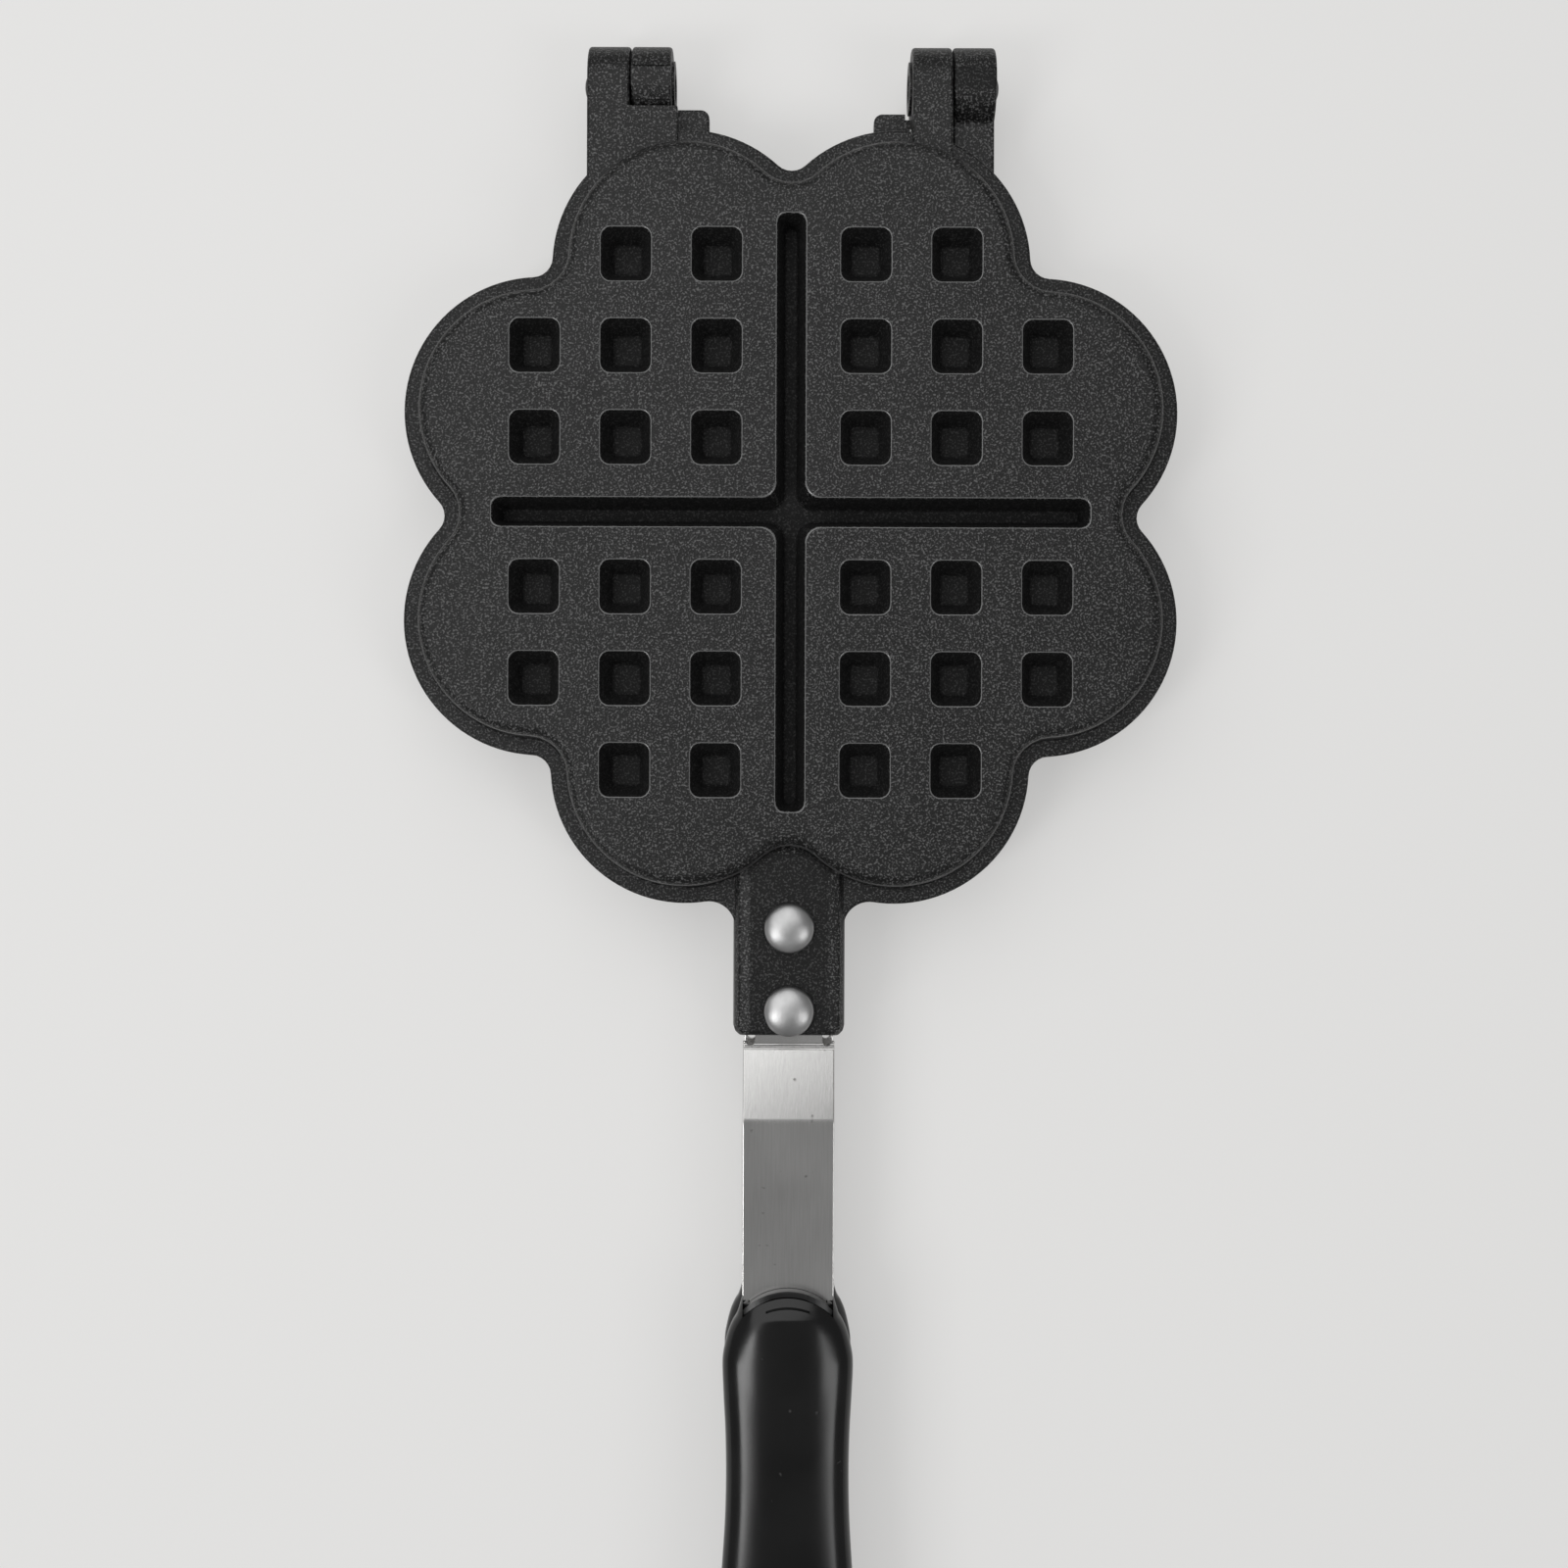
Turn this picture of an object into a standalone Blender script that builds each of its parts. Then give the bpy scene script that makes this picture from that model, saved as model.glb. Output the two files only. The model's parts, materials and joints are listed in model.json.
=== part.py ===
"""Stovetop heart waffle iron: two identical castings hinged at the back.

Each half is modelled in the frame of the upper casting: the origin is the centre of
the eight-lobed plate on the parting plane, +Y points to the hinge, -Y to the handle
and +Z away from the other half. The lower half is the same set turned over about Y.
The whole iron then stands on its lower pan, with the origin under the middle of its box.
"""
import bpy
import bmesh
from math import asin, atan2, cos, pi, radians, sin, sqrt, tan
from mathutils import Matrix, Vector

MM = 0.001

# Clearances and the overrun of cutters and of bodies that are joined
GAP = 0.3 * MM
OVERRUN = 1.0 * MM
MERGE_DISTANCE = 0.001 * MM
SMOOTH_ANGLE = radians(32)

# Plate outline: eight equal lobes joined by small notch fillets
LOBES = 8
LOBE_CENTRE_RADIUS = 62.7 * MM
LOBE_RADIUS = 31.1 * MM
NOTCH_RADIUS = 4.6 * MM
LOBE_STEPS = 10
NOTCH_STEPS = 3
CAVITY_LOBE_STEPS = 6
CAVITY_NOTCH_STEPS = 3

# Section of the cast pan, heights from the parting plane
PARTING = GAP / 2
RIM_TOP = 8.2 * MM
RIM_EDGE = 0.5 * MM
RIM_BAND = 3.8 * MM
PAN_TOP = 15.5 * MM
PAN_DRAFT = radians(5)
SHOULDER_RADIUS = 2.9 * MM
SHOULDER_STEPS = 3
CAVITY_INSET = 4.5 * MM
CAVITY_DRAFT = radians(11)
PAN_FLOOR = 2.8 * MM
CAVITY_FILLET = 1.6 * MM
CEILING = PAN_TOP - PAN_FLOOR

# Square pits outside, which are the studs inside
PIT_ROWS = 3
PIT_FIRST = 16.9 * MM
PIT_MARGIN = 35.7 * MM
PIT_PITCH = (LOBE_CENTRE_RADIUS + LOBE_RADIUS - PIT_MARGIN - PIT_FIRST) / (PIT_ROWS - 1)
PIT_OPENING = 11.1 * MM
PIT_FLOOR = 6.4 * MM
PIT_DEPTH = 7.0 * MM
PIT_CORNER = 1.6 * MM
STUD_WALL = 2.2 * MM
STUD_TIP = 5.0 * MM

# Cross groove outside, which is the ridge between the four hearts inside
GROOVE_OPENING = 6.7 * MM
GROOVE_FLOOR = 3.0 * MM
GROOVE_DEPTH = 8.0 * MM
GROOVE_MARGIN = 12.06 * MM
GROOVE_CROSSING_RADIUS = 3.1 * MM
GROOVE_CROSSING_STEPS = 3
RIDGE_TIP = 2.5 * MM
RIDGE_BITE = 1.0 * MM

# Hinge: one outer and one inner ear on each casting
HINGE_REACH = 101.1 * MM
EAR_RADIUS = 9.15 * MM
EAR_STEPS = 12
EAR_CHAMFER = 0.7 * MM
EAR_SPLIT = 37.2 * MM
OUTER_EAR_WIDTH = 9.75 * MM
INNER_EAR_WIDTH = 9.25 * MM
LUG_OVERLAP = 1.0 * MM
LUG_INNER_SIDE = 26.2 * MM
LUG_ROOT_DEPTH = 19.03 * MM
RELIEF_RADIUS = 11.4 * MM
RELIEF_STEPS = 4
WEB_DROP = 3.0 * MM
WEB_BACK = 87.5 * MM
BARREL_GROOVE_START = -2.3 * MM
BARREL_GROOVE_END = 2.4 * MM
BARREL_GROOVE_DEPTH = 0.5 * MM
BOSS_RADIUS = 6.0 * MM
BOSS_PROUD = 0.6 * MM
PIN_RADIUS = 2.9 * MM
PIN_PROUD = 1.2 * MM
PIN_STEPS = 16
DOME_STEPS = 3

# Low tab beside the hinge lug
TAB_INNER_SIDE = 19.2 * MM
TAB_OUTER_SIDE = 26.5 * MM
TAB_ROOT_DEPTH = 7.03 * MM
TAB_REACH = 95.3 * MM
TAB_TOP = 2.8 * MM
TAB_CORNER = 2.0 * MM
TAB_STEPS = 3

# Handle tang of the casting: a bevelled pad, gabled towards the pan
TANG_WIDTH = 25.0 * MM
TANG_END = 119.2 * MM
TANG_TOP = 11.0 * MM
TANG_BEVEL = 3.1 * MM
TANG_END_BEVEL = 0.9 * MM
TANG_CORNER = 1.2 * MM
GABLE_ROOT_DEPTH = 14.53 * MM
GABLE_PEAK = 77.6 * MM
GABLE_SHOULDER = 82.8 * MM
GABLE_FLAT = 7.4 * MM
TANG_FILLET = 6.0 * MM
FILLET_STEPS = 4
WEB_ROOT_DEPTH = 9.03 * MM
CHANNEL_START = 86.0 * MM

# Cranked steel strap, riveted into the channel under the tang
STRAP_THICKNESS = 2.0 * MM
STRAP_WIDTH = 21.0 * MM
STRAP_SEAT = 5.7 * MM
NECK_WIDTH = 15.5 * MM
NECK_START = 117.6 * MM
NECK_END = 120.8 * MM
NECK_FLARE = 0.7 * MM
NECK_RELIEF = 1.0 * MM
CRANK_START = 121.8 * MM
CRANK_END = 138.8 * MM
CRANK_BEND = 0.6 * MM
HANDLE_LEVEL = 8.75 * MM
TONGUE_WIDTH = 17.6 * MM
TONGUE_SETBACK = 2.8 * MM
TONGUE_TAIL = 10.0 * MM

# Domed rivets, rear one nearest the pan
REAR_RIVET = 94.4 * MM
FRONT_RIVET = 113.4 * MM
RIVET_HEAD_RADIUS = 5.75 * MM
RIVET_HEAD_HEIGHT = 2.8 * MM
RIVET_RIM = 0.5 * MM
RIVET_SHANK_RADIUS = 2.4 * MM
RIVET_TAIL_RADIUS = 4.0 * MM
RIVET_TAIL_HEIGHT = 1.0 * MM
RIVET_STEPS = 16

# Moulded collar between the strap and the grip, an arc seen from above
COLLAR_NOSE = 176.9 * MM
COLLAR_THICKNESS = 1.4 * MM
COLLAR_RADIUS = 13.8 * MM
COLLAR_HALF_WIDTH = 10.3 * MM
COLLAR_HALF_HEIGHT = 4.6 * MM
COLLAR_CHAMFER = 0.5 * MM
COLLAR_STEPS = 9

# Moulded grip: shares of its length, half width and half height at each section
GRIP_SETBACK = 1.1 * MM
GRIP_LENGTH = 122.0 * MM
GRIP_HALF_WIDTH = 14.8 * MM
GRIP_HALF_HEIGHT = 6.75 * MM
GRIP_SHARES = (
    (0.000, 0.690, 0.72),
    (0.040, 0.790, 0.82),
    (0.052, 0.850, 0.86),
    (0.069, 0.912, 0.89),
    (0.095, 0.970, 0.93),
    (0.125, 1.000, 0.97),
    (0.180, 0.967, 1.00),
    (0.262, 0.930, 1.00),
    (0.426, 0.960, 1.00),
    (0.516, 1.030, 1.00),
    (0.623, 1.080, 1.00),
    (0.754, 1.080, 1.00),
    (0.852, 1.010, 0.98),
    (0.918, 0.890, 0.92),
    (0.963, 0.720, 0.80),
    (0.990, 0.500, 0.60),
    (1.000, 0.280, 0.36),
)
GRIP_ROUNDNESS = 2.7
GRIP_POINTS = 16

# Screw that ties the grip to the end of the strap
SCREW_INSET = 52.0 * MM
SCREW_HEAD_RADIUS = 3.5 * MM
SCREW_FACE_RADIUS = 2.8 * MM
SCREW_HEAD_HEIGHT = 2.2 * MM
SCREW_HEAD_EDGE = 0.7 * MM
SCREW_RADIUS = 1.9 * MM
SCREW_SINK = 0.6 * MM
SCREW_TIP_COVER = 2.5 * MM
SCREW_STEPS = 16

# Places that follow from the sizes above
LOBE_TOP = LOBE_CENTRE_RADIUS * cos(pi / LOBES) + LOBE_RADIUS
LUG_BACK = LOBE_TOP - LUG_ROOT_DEPTH
TAB_ROOT = LOBE_TOP - TAB_ROOT_DEPTH
GABLE_ROOT = LOBE_TOP - GABLE_ROOT_DEPTH
WEB_ROOT = LOBE_TOP - WEB_ROOT_DEPTH
STRAP_MIDDLE = STRAP_SEAT + STRAP_THICKNESS / 2
CHANNEL_CEILING = STRAP_SEAT + STRAP_THICKNESS + GAP
OUTER_EAR_FACE = EAR_SPLIT + GAP / 2 + OUTER_EAR_WIDTH
INNER_EAR_FACE = EAR_SPLIT - GAP / 2 - INNER_EAR_WIDTH
HINGE_END = HINGE_REACH + EAR_RADIUS
TONGUE_START = COLLAR_NOSE + TONGUE_SETBACK
GRIP_START = COLLAR_NOSE + GRIP_SETBACK
GRIP_END = GRIP_START + GRIP_LENGTH
SCREW_PLACE = GRIP_START + SCREW_INSET
STRAP_END = SCREW_PLACE + TONGUE_TAIL
IRON_CENTRE = (HINGE_END - GRIP_END) / 2
GRIP_FACE = HANDLE_LEVEL - GRIP_HALF_HEIGHT
SCREW_TIP = HANDLE_LEVEL + GRIP_HALF_HEIGHT - SCREW_TIP_COVER


def clear_scene():
    for old in list(bpy.data.objects):
        bpy.data.objects.remove(old, do_unlink=True)


def coating(name, colour, roughness, metallic):
    finish = bpy.data.materials.new(name)
    finish.use_nodes = True
    shader = finish.node_tree.nodes["Principled BSDF"]
    shader.inputs["Base Color"].default_value = (*colour, 1.0)
    shader.inputs["Roughness"].default_value = roughness
    shader.inputs["Metallic"].default_value = metallic
    return finish


def place(name, mesh, finish, parent, origin=(0, 0, 0)):
    """Link a finished mesh as a named piece under the empty that carries it."""
    mesh.materials.clear()
    mesh.materials.append(finish)
    mesh.shade_smooth()
    mesh.set_sharp_from_angle(angle=SMOOTH_ANGLE)
    piece = bpy.data.objects.new(name, mesh)
    bpy.context.scene.collection.objects.link(piece)
    piece.parent = parent
    piece.location = origin
    return piece


def carrier(name, parent, origin, turn=0.0):
    empty = bpy.data.objects.new(name, None)
    bpy.context.scene.collection.objects.link(empty)
    empty.parent = parent
    empty.location = origin
    empty.rotation_euler = (0, turn, 0)
    return empty


def to_mesh(bm, name):
    bmesh.ops.recalc_face_normals(bm, faces=bm.faces)
    mesh = bpy.data.meshes.new(name)
    bm.to_mesh(mesh)
    bm.free()
    return mesh


def loft(rings, bm=None):
    """A closed body through rings of equal length, capped at both ends."""
    bm = bm or bmesh.new()
    loops = [[bm.verts.new(point) for point in ring] for ring in rings]
    count = len(rings[0])
    for low, high in zip(loops, loops[1:]):
        for i in range(count):
            j = (i + 1) % count
            bm.faces.new((low[i], low[j], high[j], high[i]))
    bm.faces.new(list(reversed(loops[0])))
    bm.faces.new(loops[-1])
    return bm


def turned(profile, steps):
    """A body spun about Z from (radius, height) points that start and end on the axis."""
    bm = bmesh.new()
    verts = [bm.verts.new((radius, 0, height)) for radius, height in profile]
    edges = [bm.edges.new(pair) for pair in zip(verts, verts[1:])]
    bmesh.ops.spin(bm, geom=verts + edges, cent=(0, 0, 0), axis=(0, 0, 1), dvec=(0, 0, 0),
                   angle=2 * pi, steps=steps, use_merge=True)
    bmesh.ops.remove_doubles(bm, verts=bm.verts, dist=MERGE_DISTANCE)
    return bm


def cylinder(radius, low, high, steps):
    return turned(((0, low), (radius, low), (radius, high), (0, high)), steps)


def block(low, high):
    bm = bmesh.new()
    size = Vector(high) - Vector(low)
    middle = (Vector(high) + Vector(low)) / 2
    bmesh.ops.create_cube(bm, size=1, matrix=Matrix.Translation(middle) @ Matrix.Diagonal((*size, 1)))
    return bm


def side_plate(outline, low, high, chamfer=0):
    """An outline in Y and Z, extruded along X, with its two outlines chamfered."""
    bm = bmesh.new()
    face = bm.faces.new([bm.verts.new((low, y, z)) for y, z in outline])
    extruded = bmesh.ops.extrude_face_region(bm, geom=[face])["geom"]
    moved = [item for item in extruded if isinstance(item, bmesh.types.BMVert)]
    bmesh.ops.translate(bm, verts=moved, vec=(high - low, 0, 0))
    if chamfer:
        rims = [edge for edge in bm.edges if abs(edge.verts[0].co.x - edge.verts[1].co.x) < MERGE_DISTANCE]
        bmesh.ops.bevel(bm, geom=rims, offset=chamfer, segments=1, affect="EDGES")
    return bm


def arc(centre, radius, start, end, steps):
    """Points on a circle, both ends included."""
    angles = [start + (end - start) * i / steps for i in range(steps + 1)]
    return [(centre[0] + radius * cos(a), centre[1] + radius * sin(a)) for a in angles]


def combine(base, operations):
    """Apply booleans in order and return the resulting mesh."""
    body = bpy.data.objects.new("body", base)
    bpy.context.scene.collection.objects.link(body)
    tools = []
    for operation, bm in operations:
        tool = bpy.data.objects.new("tool", to_mesh(bm, "tool"))
        bpy.context.scene.collection.objects.link(tool)
        tools.append(tool)
        cut = body.modifiers.new(operation, "BOOLEAN")
        cut.operation = operation
        cut.solver = "EXACT"
        cut.object = tool
    evaluated = body.evaluated_get(bpy.context.evaluated_depsgraph_get())
    result = bpy.data.meshes.new_from_object(evaluated)
    for scrap in (body, *tools):
        bpy.data.objects.remove(scrap, do_unlink=True)
    return result


def notch_distance():
    """Distance from the plate's centre to the centre of a notch fillet."""
    half = pi / LOBES
    across = LOBE_CENTRE_RADIUS * sin(half)
    return LOBE_CENTRE_RADIUS * cos(half) + sqrt((LOBE_RADIUS + NOTCH_RADIUS) ** 2 - across ** 2)


def flower(inset, z, lobe_steps=LOBE_STEPS, notch_steps=NOTCH_STEPS):
    """The plate's outline moved inwards; equal insets keep point for point."""
    half = pi / LOBES
    reach = notch_distance()
    lobe_sweep = atan2(reach * sin(half), reach * cos(half) - LOBE_CENTRE_RADIUS)
    notch_sweep = atan2(LOBE_CENTRE_RADIUS * sin(half), reach - LOBE_CENTRE_RADIUS * cos(half))
    points = []
    for lobe in range(LOBES):
        heading = (2 * lobe + 1) * half
        centre = (LOBE_CENTRE_RADIUS * cos(heading), LOBE_CENTRE_RADIUS * sin(heading))
        points += arc(centre, LOBE_RADIUS - inset, heading - lobe_sweep, heading + lobe_sweep, lobe_steps)
        facing = heading + half
        notch = (reach * cos(facing), reach * sin(facing))
        points += arc(notch, NOTCH_RADIUS + inset, facing + pi + notch_sweep,
                      facing + pi - notch_sweep, notch_steps)[1:-1]
    return [(x, y, z) for x, y in points]


def pan_outside():
    """Rim, steep wall and rounded shoulder of the pan, as one solid."""
    middle = PAN_TOP - SHOULDER_RADIUS
    wall_top = middle + SHOULDER_RADIUS * sin(PAN_DRAFT)
    wall_inset = RIM_BAND + (wall_top - RIM_TOP) * tan(PAN_DRAFT)
    centre_inset = wall_inset + SHOULDER_RADIUS * cos(PAN_DRAFT)
    rings = [flower(0, PARTING), flower(0, RIM_TOP - RIM_EDGE),
             flower(RIM_EDGE, RIM_TOP), flower(RIM_BAND, RIM_TOP)]
    for inset, z in arc((centre_inset, middle), SHOULDER_RADIUS, pi - PAN_DRAFT, pi / 2, SHOULDER_STEPS):
        rings.append(flower(inset, z))
    return loft(rings)


def cavity_inset(z):
    return CAVITY_INSET + z * tan(CAVITY_DRAFT)


def cavity():
    """The space that the batter fills, open at the parting plane."""
    turn = CEILING - CAVITY_FILLET
    levels = ((cavity_inset(-OVERRUN), -OVERRUN), (cavity_inset(turn), turn),
              (cavity_inset(turn) + CAVITY_FILLET, CEILING))
    return loft([flower(inset, z, CAVITY_LOBE_STEPS, CAVITY_NOTCH_STEPS) for inset, z in levels])


def square_ring(x, y, half, corner, z):
    """A square with cut corners."""
    edge = half - corner
    return [(x + a * half, y + b * edge, z) if first else (x + a * edge, y + b * half, z)
            for a, b, first in ((1, -1, 1), (1, 1, 1), (1, 1, 0), (-1, 1, 0),
                                (-1, 1, 1), (-1, -1, 1), (-1, -1, 0), (1, -1, 0))]


def pit_centres():
    places = [PIT_FIRST + PIT_PITCH * i for i in range(PIT_ROWS)]
    return [(sx * x, sy * y) for x in places for y in places for sx in (1, -1) for sy in (1, -1)
            if x < places[-1] or y < places[-1]]


def pit_half(z):
    """Half width of a pit at a height, on its drafted walls."""
    draft = (PIT_OPENING - PIT_FLOOR) / 2 / PIT_DEPTH
    return PIT_FLOOR / 2 + (z - (PAN_TOP - PIT_DEPTH)) * draft


def pits(bm):
    for x, y in pit_centres():
        loft([square_ring(x, y, pit_half(z), PIT_CORNER, z)
              for z in (PAN_TOP - PIT_DEPTH, PAN_TOP + OVERRUN)], bm)
    return bm


def studs(bm):
    for x, y in pit_centres():
        loft([square_ring(x, y, pit_half(z) + STUD_WALL, PIT_CORNER, z)
              for z in (STUD_TIP, CEILING + OVERRUN)], bm)
    return bm


def groove_half(z):
    draft = (GROOVE_OPENING - GROOVE_FLOOR) / 2 / GROOVE_DEPTH
    return GROOVE_FLOOR / 2 + (z - (PAN_TOP - GROOVE_DEPTH)) * draft


def cross_ring(half, arm, z):
    """A plus sign whose inner corners are rounded about a fixed centre."""
    corner = GROOVE_OPENING / 2 + GROOVE_CROSSING_RADIUS
    points = []
    for quarter in range(4):
        turn = quarter * pi / 2
        local = [(arm, -half), (arm, half)]
        local += arc((corner, corner), corner - half, 3 * pi / 2, pi, GROOVE_CROSSING_STEPS)
        points += [(x * cos(turn) - y * sin(turn), x * sin(turn) + y * cos(turn), z) for x, y in local]
    return points


def groove(bm):
    draft = (GROOVE_OPENING - GROOVE_FLOOR) / 2 / GROOVE_DEPTH
    arm = notch_distance() - NOTCH_RADIUS - GROOVE_MARGIN
    return loft([cross_ring(groove_half(z), arm + (z - PAN_TOP) * draft, z)
                 for z in (PAN_TOP - GROOVE_DEPTH, PAN_TOP + OVERRUN)], bm)


def ridge(bm):
    """The groove's other side, which ends inside the pan wall at the four notches."""
    wall = notch_distance() - NOTCH_RADIUS + RIDGE_BITE
    return loft([cross_ring(groove_half(z) + STUD_WALL, wall - cavity_inset(z), z)
                 for z in (RIDGE_TIP, CEILING + OVERRUN / 2)], bm)


def ear(low, high, bottom, web_back):
    """A round ear with its bar running back into the pan wall."""
    start = -pi - asin(bottom / EAR_RADIUS) if bottom > 0 else -pi + asin(-bottom / EAR_RADIUS)
    rim = arc((HINGE_REACH, 0), EAR_RADIUS, pi / 2, -pi / 2, EAR_STEPS)
    rim += arc((HINGE_REACH, 0), EAR_RADIUS, -pi / 2, start, EAR_STEPS // 2)[1:]
    outline = rim + [(web_back, bottom), (web_back, PARTING), (LUG_BACK, PARTING), (LUG_BACK, EAR_RADIUS)]
    if web_back == LUG_BACK:
        outline = rim + [(LUG_BACK, bottom), (LUG_BACK, EAR_RADIUS)]
    return side_plate(outline, low, high, EAR_CHAMFER)


def hinge_shoulder():
    """Block beside the outer ear, hollowed round the mating ear."""
    foot = pi - asin(PARTING / RELIEF_RADIUS)
    top = pi - asin(EAR_RADIUS / RELIEF_RADIUS)
    outline = arc((HINGE_REACH, 0), RELIEF_RADIUS, foot, top, RELIEF_STEPS)
    outline += [(LUG_BACK, EAR_RADIUS), (LUG_BACK, PARTING)]
    return side_plate(outline, -(EAR_SPLIT + LUG_OVERLAP), -LUG_INNER_SIDE)


def barrel_groove():
    """Shallow flat groove along the inner ear's barrel, on the side that the mating pan leaves open."""
    floor = [(HINGE_REACH + y, BARREL_GROOVE_DEPTH - sqrt(EAR_RADIUS ** 2 - y ** 2))
             for y in (BARREL_GROOVE_START, BARREL_GROOVE_END)]
    below = -EAR_RADIUS - OVERRUN
    outline = [*floor, (floor[1][0], below), (floor[0][0], below)]
    return side_plate(outline, INNER_EAR_FACE - OVERRUN, EAR_SPLIT + OVERRUN)


def boss():
    bm = cylinder(BOSS_RADIUS, INNER_EAR_FACE - BOSS_PROUD, INNER_EAR_FACE + OVERRUN, PIN_STEPS)
    return along_x(bm)


def along_x(bm):
    """Turn a body from the Z axis to the hinge axis."""
    turn = Matrix.Translation((0, HINGE_REACH, 0)) @ Matrix.Rotation(pi / 2, 4, "Y")
    bmesh.ops.transform(bm, matrix=turn, verts=bm.verts)
    return bm


def tab():
    """Low plate with one rounded corner, rooted in the rim."""
    corner = arc((-TAB_INNER_SIDE - TAB_CORNER, TAB_REACH - TAB_CORNER), TAB_CORNER, 0, pi / 2, TAB_STEPS)
    plan = [(-TAB_OUTER_SIDE, TAB_ROOT), (-TAB_INNER_SIDE, TAB_ROOT), *corner, (-TAB_OUTER_SIDE, TAB_REACH)]
    return loft([[(x, y, z) for x, y in plan] for z in (PARTING, TAB_TOP)])


def tang():
    """Raised pad with bevelled sides and a gabled end against the pan."""
    def ring(side, peak, shoulder, end, z):
        flat = GABLE_FLAT / 2
        corner = TANG_CORNER
        return [(side, -end + corner, z), (side, -shoulder, z), (flat, -peak, z), (-flat, -peak, z),
                (-side, -shoulder, z), (-side, -end + corner, z), (-side + corner, -end, z),
                (side - corner, -end, z)]
    half = TANG_WIDTH / 2
    low = [ring(half, GABLE_ROOT, GABLE_SHOULDER - TANG_BEVEL, TANG_END, z) for z in (PARTING, RIM_TOP)]
    top = ring(half - TANG_BEVEL, GABLE_PEAK, GABLE_SHOULDER, TANG_END - TANG_END_BEVEL, TANG_TOP)
    return loft(low + [top])


def tang_web():
    """Rim-high web that fills the corners between the tang and the two front lobes."""
    half = TANG_WIDTH / 2
    lobe_x = LOBE_CENTRE_RADIUS * sin(pi / LOBES)
    lobe_y = LOBE_CENTRE_RADIUS * cos(pi / LOBES)
    centre_x = half + TANG_FILLET
    centre_y = -lobe_y - sqrt((LOBE_RADIUS + TANG_FILLET) ** 2 - (lobe_x - centre_x) ** 2)
    meeting = atan2(-lobe_y - centre_y, lobe_x - centre_x)
    right = arc((centre_x, centre_y), TANG_FILLET, pi, meeting, FILLET_STEPS)
    outer_x = right[-1][0]
    plan = [(outer_x, -WEB_ROOT), (-outer_x, -WEB_ROOT)]
    plan += [(-x, y) for x, y in reversed(right)] + right
    return loft([[(x, y, z) for x, y in plan] for z in (PARTING, RIM_TOP)])


def tang_channel():
    """Channel for the strap, open to the parting side and to the end."""
    half = STRAP_WIDTH / 2 + GAP
    return block((-half, -TANG_END - OVERRUN, -OVERRUN), (half, -CHANNEL_START, CHANNEL_CEILING))


def upright_hole(radius, reach, low, high):
    bm = cylinder(radius, low, high, RIVET_STEPS)
    bmesh.ops.translate(bm, verts=bm.verts, vec=(0, -reach, 0))
    return bm


def casting():
    """One half of the iron in one casting."""
    steps = [("UNION", ear(-OUTER_EAR_FACE, -(EAR_SPLIT + GAP / 2), -WEB_DROP, WEB_BACK)),
             ("UNION", ear(INNER_EAR_FACE, EAR_SPLIT - GAP / 2, PARTING, LUG_BACK)),
             ("UNION", hinge_shoulder()),
             ("UNION", boss()),
             ("UNION", tab()),
             ("UNION", tang_web()),
             ("UNION", tang()),
             ("DIFFERENCE", cavity()),
             ("UNION", ridge(studs(bmesh.new()))),
             ("DIFFERENCE", groove(pits(bmesh.new()))),
             ("DIFFERENCE", tang_channel()),
             ("DIFFERENCE", barrel_groove()),
             ("DIFFERENCE", along_x(cylinder(PIN_RADIUS + GAP, -OUTER_EAR_FACE - OVERRUN,
                                             OUTER_EAR_FACE + OVERRUN, PIN_STEPS)))]
    for reach in (REAR_RIVET, FRONT_RIVET):
        steps.append(("DIFFERENCE", upright_hole(RIVET_SHANK_RADIUS + GAP, reach, 0, TANG_TOP + OVERRUN)))
    return combine(to_mesh(pan_outside(), "casting"), steps)


def dome(radius, base, height, steps):
    """Quarter ellipse from the rim at the base up to the axis."""
    return [(radius * cos(pi / 2 * i / steps), base + height * sin(pi / 2 * i / steps))
            for i in range(steps)] + [(0, base + height)]


def hinge_pin(side):
    """Plain pin with a domed outer end, from the inner ear's boss to past the outer ear."""
    inner = INNER_EAR_FACE
    outer = OUTER_EAR_FACE
    profile = [(0, inner), (PIN_RADIUS, inner)]
    profile += dome(PIN_RADIUS, outer, PIN_PROUD, DOME_STEPS)
    bm = along_x(turned(profile, PIN_STEPS))
    if side < 0:
        bmesh.ops.transform(bm, matrix=Matrix.Scale(-1, 4, (1, 0, 0)), verts=bm.verts)
    return to_mesh(bm, "hinge_pin")


def rivet(reach):
    """Domed head on the tang, shank through tang and strap, flat tail below the strap."""
    tail_top = STRAP_SEAT - GAP
    tail_bottom = tail_top - RIVET_TAIL_HEIGHT
    head = TANG_TOP + GAP
    profile = [(0, tail_bottom), (RIVET_TAIL_RADIUS, tail_bottom), (RIVET_TAIL_RADIUS, tail_top),
               (RIVET_SHANK_RADIUS, tail_top), (RIVET_SHANK_RADIUS, head), (RIVET_HEAD_RADIUS, head)]
    profile += dome(RIVET_HEAD_RADIUS, head + RIVET_RIM, RIVET_HEAD_HEIGHT - RIVET_RIM, DOME_STEPS)
    bm = turned(profile, RIVET_STEPS)
    bmesh.ops.translate(bm, verts=bm.verts, vec=(0, -reach, 0))
    return to_mesh(bm, "rivet")


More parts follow.
